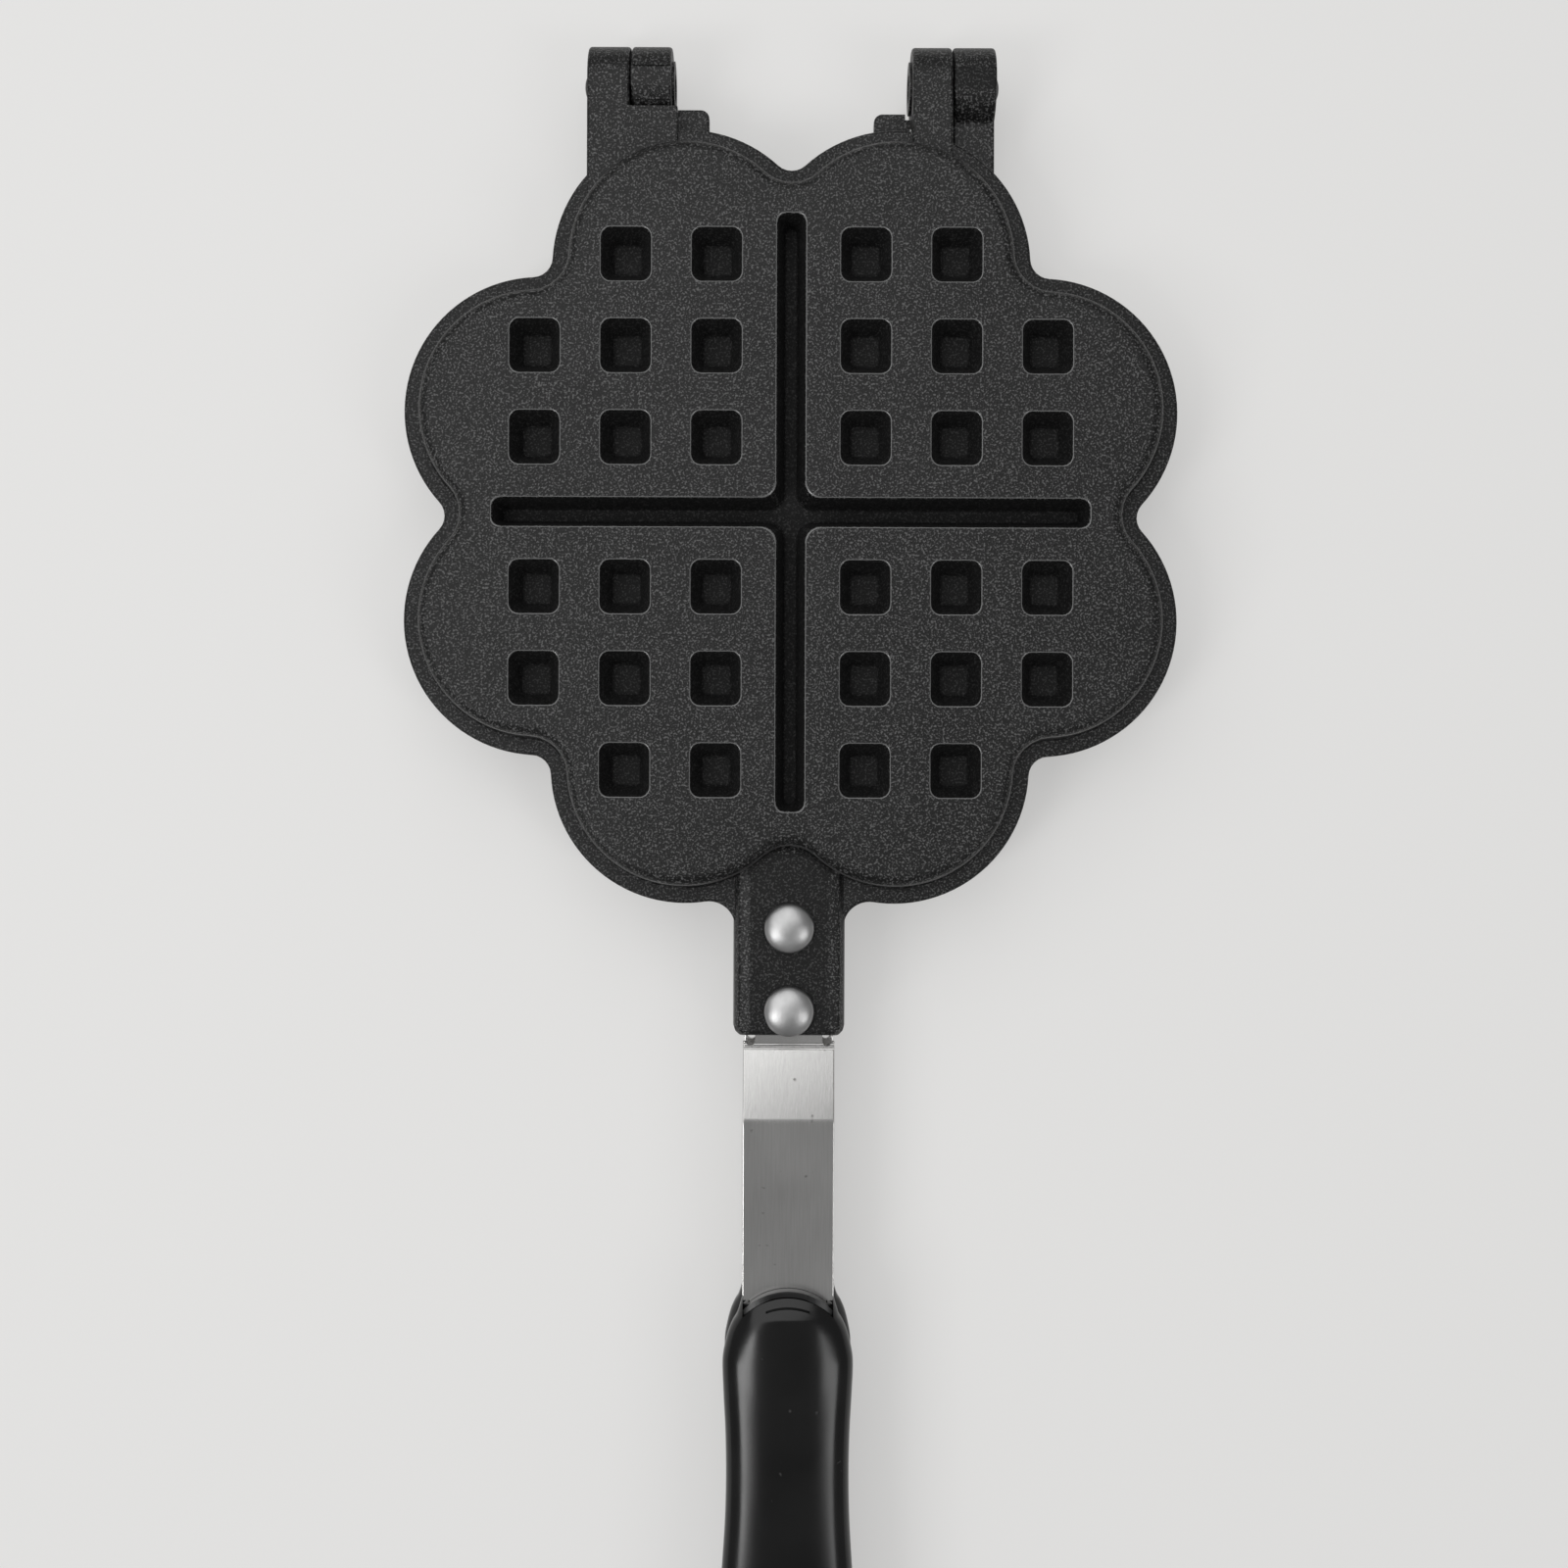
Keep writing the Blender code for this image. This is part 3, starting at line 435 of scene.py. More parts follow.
def done(piece):
    """Turn all faces outwards and leave edit mode."""
    bpy.ops.mesh.select_all(action="SELECT")
    bpy.ops.mesh.normals_make_consistent(inside=False)
    bpy.ops.object.mode_set(mode="OBJECT")
    return piece


def thicken(sheet, move):
    """Extrude a traced sheet into a closed block."""
    edit_all(sheet)
    bpy.ops.mesh.extrude_region_move(TRANSFORM_OT_translate={"value": tuple(move)})
    return done(sheet)


def slab(name, plan, low, high):
    """A plan, traced at one height and extruded up to another."""
    return thicken(trace(name, [(x, y, low) for x, y in plan]), UP * (high - low))


# %% Helpers: profiles of insets
SAME_DIRECTION = 0.999


def bend(radius, start, end, count):
    """Insets that turn the wall from one angle to another; 0 is along the face, 90 upright."""
    side = 1 if end > start else -1
    turns = [radians(start + (end - start) * i / count) for i in range(count + 1)]
    return [(side * radius * (sin(b) - sin(a)), side * radius * (cos(a) - cos(b)))
            for a, b in zip(turns, turns[1:])]


def run(length, angle):
    """One straight piece of wall at an angle."""
    return [(length * cos(radians(angle)), length * sin(radians(angle)))]


def rise(height, angle):
    """One straight piece of wall that gains a height."""
    return run(height / sin(radians(angle)), angle)


def gained(steps):
    """The height that a list of insets gains."""
    return sum(along for _, along in steps)


def choose_end(piece, towards):
    """Select the face that lies furthest in a direction."""
    mesh = bmesh.from_edit_mesh(piece.data)
    bpy.ops.mesh.select_all(action="DESELECT")
    facing = [face for face in mesh.faces if face.normal.dot(towards) > SAME_DIRECTION]
    furthest = max(facing, key=lambda face: face.calc_center_median().dot(towards))
    furthest.select_set(True)
    bmesh.update_edit_mesh(piece.data)


def grow(piece, towards, steps):
    """Draw a profile on the end face with insets."""
    edit_all(piece)
    choose_end(piece, towards)
    for across, along in steps:
        if across > MERGE:
            bpy.ops.mesh.inset(thickness=across, depth=along)
        else:
            bpy.ops.mesh.extrude_region_move(TRANSFORM_OT_translate={"value": tuple(towards * along)})
    return done(piece)


def sink(piece, towards, half, long_half, steps, long_draft=None):
    """Draw a profile on a square or oblong end face by extruding and scaling it."""
    edit_all(piece)
    choose_end(piece, towards)
    for across, along in steps:
        bpy.ops.mesh.extrude_region_move(TRANSFORM_OT_translate={"value": tuple(towards * along)})
        less = across if long_draft is None else along * long_draft
        shrink = ((half - across) / half, (long_half - less) / long_half, 1)
        bpy.ops.transform.resize(value=shrink, center_override=(0, 0, 0))
        half -= across
        long_half -= less
    return done(piece)


# %% [markdown]
# Pieces are joined and cut as a mould maker would: a block is added, or a shape is pressed
# in. An exact Boolean does both. Sharp outlines that stay are rounded with a small bevel.

# %% Helpers: blocks, rods and copies
def newest(name):
    """Write the place, turn and scale of the active piece into its mesh, and name it."""
    bpy.ops.object.transform_apply(location=True, rotation=True, scale=True)
    bpy.context.object.name = name
    return bpy.context.object


def block(name, low, high):
    pick(None)
    middle = (Vector(low) + Vector(high)) / 2
    bpy.ops.mesh.primitive_cube_add(size=1.0, location=middle, scale=Vector(high) - Vector(low))
    return newest(name)


def rod(name, radius, start, end, points=48):
    """A cylinder between two places on one axis."""
    pick(None)
    axis = Vector(end) - Vector(start)
    bpy.ops.mesh.primitive_cylinder_add(vertices=points, radius=radius, depth=axis.length,
                                        location=(Vector(start) + Vector(end)) / 2,
                                        rotation=axis.to_track_quat("Z", "Y").to_euler())
    return newest(name)


def upright_rod(name, radius, reach, low, high, points=48, x=0):
    """A cylinder along Z at a distance from the plate's centre towards the grip."""
    return rod(name, radius, (x, -reach, low), (x, -reach, high), points)


def copy_of(piece):
    pick(piece)
    bpy.ops.object.duplicate()
    return bpy.context.object


def gather_pieces(first, *others):
    if others:
        pick(first)
        for other in others:
            other.select_set(True)
        bpy.ops.object.join()
    return first


# %% Helpers: join, cut, round and finish
def open_edges(piece):
    """Edges that don't join exactly two faces; a closed piece has none."""
    joined = [0] * len(piece.data.edges)
    for corner in piece.data.loops:
        joined[corner.edge_index] += 1
    return sum(count != 2 for count in joined)


def apply_change(piece, name, kind, **settings):
    """Add a modifier with its settings and write its result into the mesh."""
    change = piece.modifiers.new(name, kind)
    for setting, value in settings.items():
        setattr(change, setting, value)
    pick(piece)
    bpy.ops.object.modifier_apply(modifier=change.name)
    return piece


def combine(body, operation, tools):
    """Join the tools into one and use it up in a Boolean on the body."""
    tool = gather_pieces(*tools)
    apply_change(body, operation, "BOOLEAN", operation=operation, solver="EXACT", object=tool)
    bpy.data.objects.remove(tool, do_unlink=True)
    print(body.name, operation.lower(), "open edges:", open_edges(body))
    return body


def weld(body, *tools):
    return combine(body, "UNION", tools)


def cut(body, *tools):
    return combine(body, "DIFFERENCE", tools)


def round_edges(piece, width, angle=30):
    return apply_change(piece, "rounded", "BEVEL", width=width, segments=3,
                        limit_method="ANGLE", angle_limit=radians(angle))


def finish_surface(piece, finish, angle=32):
    """Merge doubles, smooth the curved faces and keep the flat ones flat."""
    edit_all(piece)
    bpy.ops.mesh.remove_doubles(threshold=MERGE)
    bpy.ops.object.mode_set(mode="OBJECT")
    bpy.ops.object.shade_smooth_by_angle(angle=radians(angle))
    apply_change(piece, "flat", "WEIGHTED_NORMAL", keep_sharp=True)
    piece.data.materials.clear()
    piece.data.materials.append(finish)
    print(piece.name, "faces:", len(piece.data.polygons))
    return piece


# %% [markdown]
# ## The pan of the casting
# Seen from above the plate is eight equal lobes with small rounded notches between them, as
# four hearts lie with their points together. Every line of the pan follows that outline:
# the flat rim, the steep wall and the rounded shoulder. So one outline is traced, and the
# whole pan is drawn from it with insets, which keep all these lines parallel.

# %% Outline of eight lobes
LOBES = 8
LOBE_CENTRE_RADIUS = 62.7 * MM
LOBE_RADIUS = 31.045 * MM
NOTCH_RADIUS = 4.6 * MM
LOBE_STEPS = 36
NOTCH_STEPS = 6
HALF_LOBE = pi / LOBES
LOBE_SIDE = LOBE_CENTRE_RADIUS * sin(HALF_LOBE)
LOBE_AHEAD = LOBE_CENTRE_RADIUS * cos(HALF_LOBE)
NOTCH_REACH = LOBE_AHEAD + sqrt((LOBE_RADIUS + NOTCH_RADIUS) ** 2 - LOBE_SIDE ** 2)


def flower(inset):
    """The outline in plan, or one parallel to it further in."""
    lobe_sweep = atan2(NOTCH_REACH * sin(HALF_LOBE), NOTCH_REACH * cos(HALF_LOBE) - LOBE_CENTRE_RADIUS)
    notch_sweep = atan2(LOBE_SIDE, NOTCH_REACH - LOBE_AHEAD)
    points = []
    for lobe in range(LOBES):
        heading = (2 * lobe + 1) * HALF_LOBE
        centre = (LOBE_CENTRE_RADIUS * cos(heading), LOBE_CENTRE_RADIUS * sin(heading))
        points += arc(centre, LOBE_RADIUS - inset, heading - lobe_sweep, heading + lobe_sweep, LOBE_STEPS)
        facing = heading + HALF_LOBE
        notch = (NOTCH_REACH * cos(facing), NOTCH_REACH * sin(facing))
        points += arc(notch, NOTCH_RADIUS + inset, facing + pi + notch_sweep,
                      facing + pi - notch_sweep, NOTCH_STEPS)[1:-1]
    return points


print("Outline, points:", len(flower(0)))

# %% Pan blank
PARTING = 0.15 * MM
RIM_TOP = 8.2 * MM
RIM_EDGE = 0.8 * MM
LIP_EDGE = 0.4 * MM
RIM_BAND = 3.8 * MM
FOOT_FILLET = 0.6 * MM
PAN_TOP = 15.5 * MM
WALL_ANGLE = 85
SHOULDER_RADIUS = 2.9 * MM

pan = slab("casting_upper", flower(0), PARTING + LIP_EDGE, RIM_TOP - RIM_EDGE)
rim_edge = bend(RIM_EDGE, 90, 0, 4)
rim_flat = run(RIM_BAND - RIM_EDGE - FOOT_FILLET * tan(radians(WALL_ANGLE / 2)), 0)
foot = bend(FOOT_FILLET, 0, WALL_ANGLE, 4)
shoulder_curve = bend(SHOULDER_RADIUS, WALL_ANGLE, 0, 9)
wall = rise(PAN_TOP - RIM_TOP - gained(foot) - gained(shoulder_curve), WALL_ANGLE)
grow(pan, UP, rim_edge + rim_flat + foot + wall + shoulder_curve)
grow(pan, DOWN, bend(LIP_EDGE, 90, 0, 3))
print("Pan blank, points:", len(pan.data.vertices))

# %% [markdown]
# ## Hinge lugs
# Each casting has an outer ear on one side and an inner ear on the other, so two identical
# castings interlock when one is turned over. An ear is a round barrel with a bar that runs
# back into the pan. Its side view is traced and extruded along the hinge, and its two
# outlines are rounded.

# %% Ears
EAR_RADIUS = 9.15 * MM
EAR_SPLIT = 37.2 * MM
HALF_GAP = 0.15 * MM
STEP = 0.02 * MM
LUG_FOOT = PARTING + STEP
OUTER_EAR_WIDTH = 9.75 * MM
INNER_EAR_WIDTH = 9.25 * MM
OUTER_EAR_FACE = EAR_SPLIT + HALF_GAP + OUTER_EAR_WIDTH
INNER_EAR_FACE = EAR_SPLIT - HALF_GAP - INNER_EAR_WIDTH
EAR_EDGE = 0.7 * MM
LUG_BACK = 70.0 * MM
WEB_DROP = 3.0 * MM
WEB_CLEARANCE = 0.9 * MM
BARREL = (HINGE_REACH, 0)


def side_piece(name, outline, low, high, edge):
    """A side view in Y and Z, extruded along X and rounded."""
    sheet = trace(name, [(low, y, z) for y, z in outline])
    return round_edges(thicken(sheet, (high - low, 0, 0)), edge)


def ear_outline(to_angle, foot):
    """The side view of an ear: the barrel, and the bar that runs back at a height."""
    front = arc(BARREL, EAR_RADIUS, pi / 2, -pi / 2, 24)
    under = arc(BARREL, EAR_RADIUS, -pi / 2, to_angle, 12)[1:]
    return front + under + [(LUG_BACK, foot), (LUG_BACK, EAR_RADIUS)]


outer_ear = side_piece("outer_ear", ear_outline(-pi + asin(WEB_DROP / EAR_RADIUS), -WEB_DROP),
                       -OUTER_EAR_FACE, -EAR_SPLIT - HALF_GAP, EAR_EDGE)
room_plan = arc((-LOBE_SIDE, LOBE_AHEAD), LOBE_RADIUS + WEB_CLEARANCE, pi / 4, pi, 40)
room_plan += [(room_plan[-1][0], 0), (room_plan[0][0], 0)]
cut(outer_ear, slab("room", room_plan, -PAN_TOP, LUG_FOOT))
inner_ear = side_piece("inner_ear", ear_outline(-pi - asin(LUG_FOOT / EAR_RADIUS), LUG_FOOT),
                       INNER_EAR_FACE, EAR_SPLIT - HALF_GAP, EAR_EDGE)

# %% [markdown]
# Beside the outer ear the lug is a solid shoulder. Its end is hollowed round the barrel of
# the other casting, which turns inside it. A thin boss on the inner ear keeps the pin. A
# small tab stands at the inner side of the shoulder, with a narrow bridge between them.

# %% Shoulder, boss and tab
RELIEF_RADIUS = 11.4 * MM
SHOULDER_SIDE = 26.2 * MM
SHOULDER_OVERLAP = 3.0 * MM
SHOULDER_EDGE = 0.5 * MM
BOSS_RADIUS = 6.0 * MM
BOSS_PROUD = 0.6 * MM
TAB_SIDES = (-26.5 * MM, -19.2 * MM)
TAB_ENDS = (82.0 * MM, 95.3 * MM)
BRIDGE_SIDE = -27.7 * MM
BRIDGE_END = 94.0 * MM
TAB_TOP = 2.8 * MM
TAB_CORNER = 2.0 * MM
TAB_EDGE = 0.5 * MM

SHOULDER_TOP = EAR_RADIUS - STEP
SHOULDER_FOOT = PARTING + 2 * STEP
shoulder_outline = arc(BARREL, RELIEF_RADIUS, pi - asin(SHOULDER_FOOT / RELIEF_RADIUS),
                       pi - asin(SHOULDER_TOP / RELIEF_RADIUS), 12)
shoulder_outline += [(LUG_BACK + MM, SHOULDER_TOP), (LUG_BACK + MM, SHOULDER_FOOT)]
shoulder = side_piece("shoulder", shoulder_outline, -EAR_SPLIT - SHOULDER_OVERLAP, -SHOULDER_SIDE,
                      SHOULDER_EDGE)
boss = rod("boss", BOSS_RADIUS, (INNER_EAR_FACE - BOSS_PROUD, HINGE_REACH, 0),
           (INNER_EAR_FACE + MM, HINGE_REACH, 0))
tab_corner = arc((TAB_SIDES[1] - TAB_CORNER, TAB_ENDS[1] - TAB_CORNER), TAB_CORNER, 0, pi / 2, 8)
tab_plan = [(BRIDGE_SIDE, TAB_ENDS[0]), (TAB_SIDES[1], TAB_ENDS[0]), *tab_corner]
tab_plan += [(TAB_SIDES[0], TAB_ENDS[1]), (TAB_SIDES[0], BRIDGE_END), (BRIDGE_SIDE, BRIDGE_END)]
tab = slab("tab", tab_plan, LUG_FOOT, TAB_TOP - TAB_EDGE)
grow(tab, UP, bend(TAB_EDGE, 90, 0, 3))
print("Lug pieces:", outer_ear.name, inner_ear.name, shoulder.name, boss.name, tab.name)

# %% [markdown]
# ## Tang
# The tang carries the strap. It is a raised pad with sloping sides that ends in a gable
# where it runs in between the two front lobes. A web as high as the rim fills the corners
# between tang and lobes with two large fillets.

# %% Tang
TANG_HALF = 12.5 * MM
TANG_END = 119.2 * MM
TANG_TOP = 11.0 * MM
TANG_DRAFT = 0.5 * MM
GABLE_FOOT = 9.7 * MM
GABLE_STEP = 75.4 * MM
CHAMFER_HALF = 11.5 * MM
CHAMFER_FOOT = 10.1 * MM
TANG_BEVEL = 3.6 * MM
TANG_END_BEVEL = 0.9 * MM
TANG_CORNER = 1.2 * MM
TANG_EDGE = 0.7 * MM
GABLE_ROOT = 74.5 * MM
GABLE_PEAK = 77.6 * MM
GABLE_SHOULDER = 82.8 * MM
GABLE_FLAT = 7.4 * MM


def tang_ring(side, peak, shoulder_reach, end, z):
    """The tang's outline at one height, from its right side round the gable and the end."""
    flat = GABLE_FLAT / 2
    right = [(side, -end + TANG_CORNER), (side, -shoulder_reach), (flat, -peak)]
    left = [(-x, y) for x, y in reversed(right)]
    end_points = [(-side + TANG_CORNER, -end), (side - TANG_CORNER, -end)]
    return [(x, y, z) for x, y in right + left + end_points]


def loft(name, rings):
    """A traced end, extruded ring after ring, each new end face moved onto the next ring."""
    body = trace(name, rings[0])
    edit_all(body)
    for before, after in zip(rings, rings[1:]):
        bpy.ops.mesh.extrude_region_move()
        mesh = bmesh.from_edit_mesh(body.data)
        old = [Vector(point) for point in before]
        for vertex in [v for v in mesh.verts if v.select]:
            nearest = min(range(len(old)), key=lambda i: (vertex.co - old[i]).length_squared)
            vertex.co = after[nearest]
        bmesh.update_edit_mesh(body.data)
    return done(body)


gable_low = GABLE_SHOULDER - TANG_BEVEL
tang_rings = [
    tang_ring(TANG_HALF + TANG_DRAFT, GABLE_ROOT, gable_low, TANG_END, PARTING + 3 * STEP),
    tang_ring(TANG_HALF, GABLE_ROOT, gable_low, TANG_END, RIM_TOP + STEP),
    tang_ring(CHAMFER_HALF, GABLE_STEP, gable_low + MM, TANG_END - TANG_END_BEVEL / 3, CHAMFER_FOOT),
    tang_ring(TANG_HALF - TANG_BEVEL, GABLE_PEAK, GABLE_SHOULDER, TANG_END - TANG_END_BEVEL, TANG_TOP)]
for corner in (2, 3):
    x, y, _ = tang_rings[1][corner]
    tang_rings[1][corner] = (x, y, GABLE_FOOT)
tang = round_edges(loft("tang", tang_rings), TANG_EDGE, angle=20)
print("Tang, faces:", len(tang.data.polygons))

# %% [markdown]
# The web is flat and has two large round corners. Each is an arc that touches the side of
# the tang and the round of a front lobe, and its centre follows from those two distances.

# %% Web between tang and lobes
WEB_FILLET = 6.0 * MM
WEB_ROOT = 80.0 * MM
WEB_TOP = RIM_TOP - STEP
fillet_x = TANG_HALF - STEP + WEB_FILLET
fillet_y = -LOBE_AHEAD - sqrt((LOBE_RADIUS + WEB_FILLET) ** 2 - (LOBE_SIDE - fillet_x) ** 2)
meeting = atan2(-LOBE_AHEAD - fillet_y, LOBE_SIDE - fillet_x)
right_fillet = arc((fillet_x, fillet_y), WEB_FILLET, pi, meeting, 12)
web_plan = [(right_fillet[-1][0], -WEB_ROOT), (-right_fillet[-1][0], -WEB_ROOT)]
web_plan += [(-x, y) for x, y in reversed(right_fillet)] + right_fillet
web = grow(slab("web", web_plan, LUG_FOOT, WEB_TOP - RIM_EDGE), UP, rim_edge)
print("Web, faces:", len(web.data.polygons))

# %% [markdown]
# The solid pieces now become one casting. They are welded on in two turns, because pieces
# that overlap each other can't go in the same turn.

# %% Join the solid pieces of the casting
weld(pan, outer_ear, inner_ear, tang, tab)
weld(pan, shoulder, boss, web)
print("Casting, solid:", len(pan.data.polygons), "faces")

# %% [markdown]
# ## The baking side
# Inside, the batter lies in four hearts. The cavity is one eight-lobed hollow. Thirty-two
# studs and a cross-shaped ridge stand up in it: they are the other side of the pits and the
# groove, because the casting has one wall thickness. The studs are made once and copied.

# %% Cavity
LEAD_ANGLE = 15
LEAD_LENGTH = 0.3 * MM
CAVITY_INSET = 4.5 * MM
CAVITY_ANGLE = 79
CAVITY_LIP = 0.4 * MM
CAVITY_FILLET = 1.9 * MM
CEILING = 12.7 * MM


def lead_in(radius, angle):
    """A rounded mouth that crosses the face at a small angle, so that no faces coincide.

    Returns its insets, and how far outside and above the sharp corner they start."""
    lead = radians(LEAD_ANGLE)
    steps = run(LEAD_LENGTH, LEAD_ANGLE) + bend(radius, LEAD_ANGLE, angle, 4)
    outside = radius * tan(radians(angle / 2)) - radius * sin(lead) + LEAD_LENGTH * cos(lead)
    above = LEAD_LENGTH * sin(lead) - radius * (1 - cos(lead))
    return steps, outside, above


lip, lip_outside, lip_above = lead_in(CAVITY_LIP, CAVITY_ANGLE)
turn_in = bend(CAVITY_FILLET, CAVITY_ANGLE, 0, 5)
hollow_height = CEILING - PARTING + lip_above - gained(lip) - gained(turn_in)
hollow_tool = slab("hollow", flower(CAVITY_INSET - lip_outside), -MM, PARTING - lip_above)
grow(hollow_tool, UP, lip + rise(hollow_height, CAVITY_ANGLE) + turn_in)
cut(pan, hollow_tool)

# %% [markdown]
# A pit is a square hole with rounded corners, sloping walls and a flat floor. A stud is the
# same form, one wall thickness larger. So one recipe makes a tapered peg, and the peg is
# either pressed in or welded on. The pits are a little longer than wide.

# %% Studs and pits share one recipe
PIT_FIRST = 16.9 * MM
PIT_PITCH = 20.6 * MM
PIT_PITCH_LONG = 20.75 * MM
PIT_ROWS = 3
PIT_HALF = 5.70 * MM
PIT_FLOOR_HALF = 3.2 * MM
PIT_DEPTH = 7.0 * MM
PIT_CORNER = 2.4 * MM
PIT_MOUTH = 0.35 * MM
PIT_FILLET = 1.0 * MM
PIT_STRETCH = 1.07
PIT_DRAFT = (PIT_HALF - PIT_FLOOR_HALF) / PIT_DEPTH
PIT_PLACES = [(sx * (PIT_FIRST + PIT_PITCH * i), sy * (PIT_FIRST + PIT_PITCH_LONG * j))
              for i in range(PIT_ROWS) for j in range(PIT_ROWS) for sx in (1, -1) for sy in (1, -1)
              if i + j < 2 * PIT_ROWS - 2]
WALL = 2.2 * MM
STUD_TIP = 5.0 * MM
STUD_CORNER = 3.2 * MM
STUD_FILLET = 1.0 * MM


def wall_profile(draft, depth, mouth, floor_fillet):
    """From a flat face round into a drafted wall and round again onto the floor."""
    angle = 90 - atan2(draft, 1) * 180 / pi
    lead, outside, above = lead_in(mouth, angle)
    bottom = bend(floor_fillet, angle, 0, 4)
    straight = depth + above - gained(lead) - gained(bottom)
    return lead + rise(straight, angle) + bottom, outside, above


def tapered_peg(name, half, corner, z, depth, mouth, fillet):
    """A square peg that points down from a height, wide end at the top."""
    profile, outside, above = wall_profile(PIT_DRAFT, depth, mouth, fillet)
    wide = half + outside
    pick(None)
    bpy.ops.mesh.primitive_plane_add(size=2 * wide, location=(0, 0, z + above))
    peg = newest(name)
    edit_all(peg)
    bpy.ops.mesh.bevel(offset=corner, segments=5, affect="VERTICES")
    bpy.ops.object.mode_set(mode="OBJECT")
    return sink(thicken(peg, UP * MM), DOWN, wide, wide, profile)


def spread(peg):
    """Copy a peg to the thirty-two places and join the copies."""
    copies = []
    for x, y in PIT_PLACES:
        copy = copy_of(peg)
        bpy.ops.transform.translate(value=(x, y, 0))
        copies.append(newest(copy.name))
    bpy.data.objects.remove(peg, do_unlink=True)
    return gather_pieces(*copies)


def pit_half(z):
    return PIT_FLOOR_HALF + (z - (PAN_TOP - PIT_DEPTH)) * PIT_DRAFT


stud = tapered_peg("stud", pit_half(CEILING) + WALL, STUD_CORNER, CEILING, CEILING - STUD_TIP,
                   mouth=STUD_FILLET, fillet=STUD_FILLET)
studs = spread(stud)
pit = tapered_peg("pit", PIT_HALF, PIT_CORNER, PAN_TOP, PIT_DEPTH, mouth=PIT_MOUTH, fillet=PIT_FILLET)
pick(pit)
bpy.ops.transform.resize(value=(1, PIT_STRETCH, 1))
pits = spread(newest("pit"))
print("Pits and studs:", len(PIT_PLACES))

# %% [markdown]
# The cross is two long bars at right angles, one pressed into the outside as a groove and a
# wider one standing inside as the ridge. Where the bars cross, the four corners are rounded.

# %% Groove and ridge
GROOVE_HALF = 3.2 * MM
GROOVE_FLOOR_HALF = 1.5 * MM
GROOVE_DEPTH = 8.0 * MM
GROOVE_ARM = 67.7 * MM
GROOVE_CORNER = 2.1 * MM
GROOVE_MOUTH = 0.45 * MM
GROOVE_FILLET = 0.8 * MM
GROOVE_DRAFT = (GROOVE_HALF - GROOVE_FLOOR_HALF) / GROOVE_DEPTH
CROSSING_RADIUS = 3.1 * MM
CROSSING_ZONE = 12 * MM
DIAGONAL_SLACK = 20 * MERGE
RIDGE_TIP = 2.5 * MM
RIDGE_ARM = 73.8 * MM
RIDGE_CORNER = 1.5 * MM
RIDGE_FILLET = 0.8 * MM
RIDGE_SPREAD = -0.196
FLAT_ANGLE = radians(0.5)


def groove_half(z):
    return GROOVE_FLOOR_HALF + (z - (PAN_TOP - GROOVE_DEPTH)) * GROOVE_DRAFT


def on_diagonal(point):
    return abs(abs(point.x) - abs(point.y)) < DIAGONAL_SLACK and abs(point.x) < CROSSING_ZONE


def cross(name, half, long_half, corner, z, depth, mouth, fillet, long_draft=None):
    """Two crossed bars that point down from a height, with rounded inner corners."""
    profile, outside, above = wall_profile(GROOVE_DRAFT, depth, mouth, fillet)
    wide = half + outside
    long = long_half + outside
    outline = arc((wide - corner, long - corner), corner, 0, pi / 2, 4)
    outline += [(-x, y) for x, y in reversed(outline)]
    outline += [(-x, -y) for x, y in outline]
    bar = sink(slab(name, outline, z + above, z + above + MM), DOWN, wide, long, profile, long_draft)
    other = copy_of(bar)
    other.rotation_euler = (0, 0, pi / 2)
    weld(bar, newest(name + "_across"))
    edit_all(bar)
    bpy.ops.mesh.remove_doubles(threshold=MERGE)
    bpy.ops.mesh.dissolve_limited(angle_limit=FLAT_ANGLE)
    bpy.ops.mesh.select_all(action="DESELECT")
    bpy.ops.mesh.select_mode(type="EDGE")
    mesh = bmesh.from_edit_mesh(bar.data)
    for edge in mesh.edges:
        start, end = (vertex.co for vertex in edge.verts)
        if on_diagonal(start) and on_diagonal(end) and abs(start.z - end.z) > MERGE:
            edge.select_set(True)
    bmesh.update_edit_mesh(bar.data)
    bpy.ops.mesh.bevel(offset=CROSSING_RADIUS, segments=5)
    return done(bar)


ridge = cross("ridge", groove_half(CEILING) + WALL, RIDGE_ARM, RIDGE_CORNER, CEILING,
              CEILING - RIDGE_TIP, mouth=RIDGE_FILLET, fillet=RIDGE_FILLET, long_draft=RIDGE_SPREAD)
groove = cross("groove", GROOVE_HALF, GROOVE_ARM, GROOVE_CORNER, PAN_TOP,
               GROOVE_DEPTH, mouth=GROOVE_MOUTH, fillet=GROOVE_FILLET)
weld(pan, ridge, studs)
print("Ridge and studs stand in the cavity")

# %% [markdown]
# Last come the cuts: the pits and the groove outside, the channel under the tang that holds
# the strap, the bore for the hinge pins, a shallow flat land on the inner barrel that the
# mould leaves, and the two rivet holes.

# %% Cuts in the casting
CHANNEL_HALF = 10.8 * MM
CHANNEL_CEILING = 8.0 * MM
CHANNEL_START = 86.0 * MM
BORE_RADIUS = 3.2 * MM
LAND_START = -2.3 * MM
LAND_END = 2.4 * MM
LAND_DEPTH = 0.5 * MM
RIVET_REACHES = {"rear": 94.4 * MM, "front": 113.4 * MM}
RIVET_HOLE = 2.7 * MM

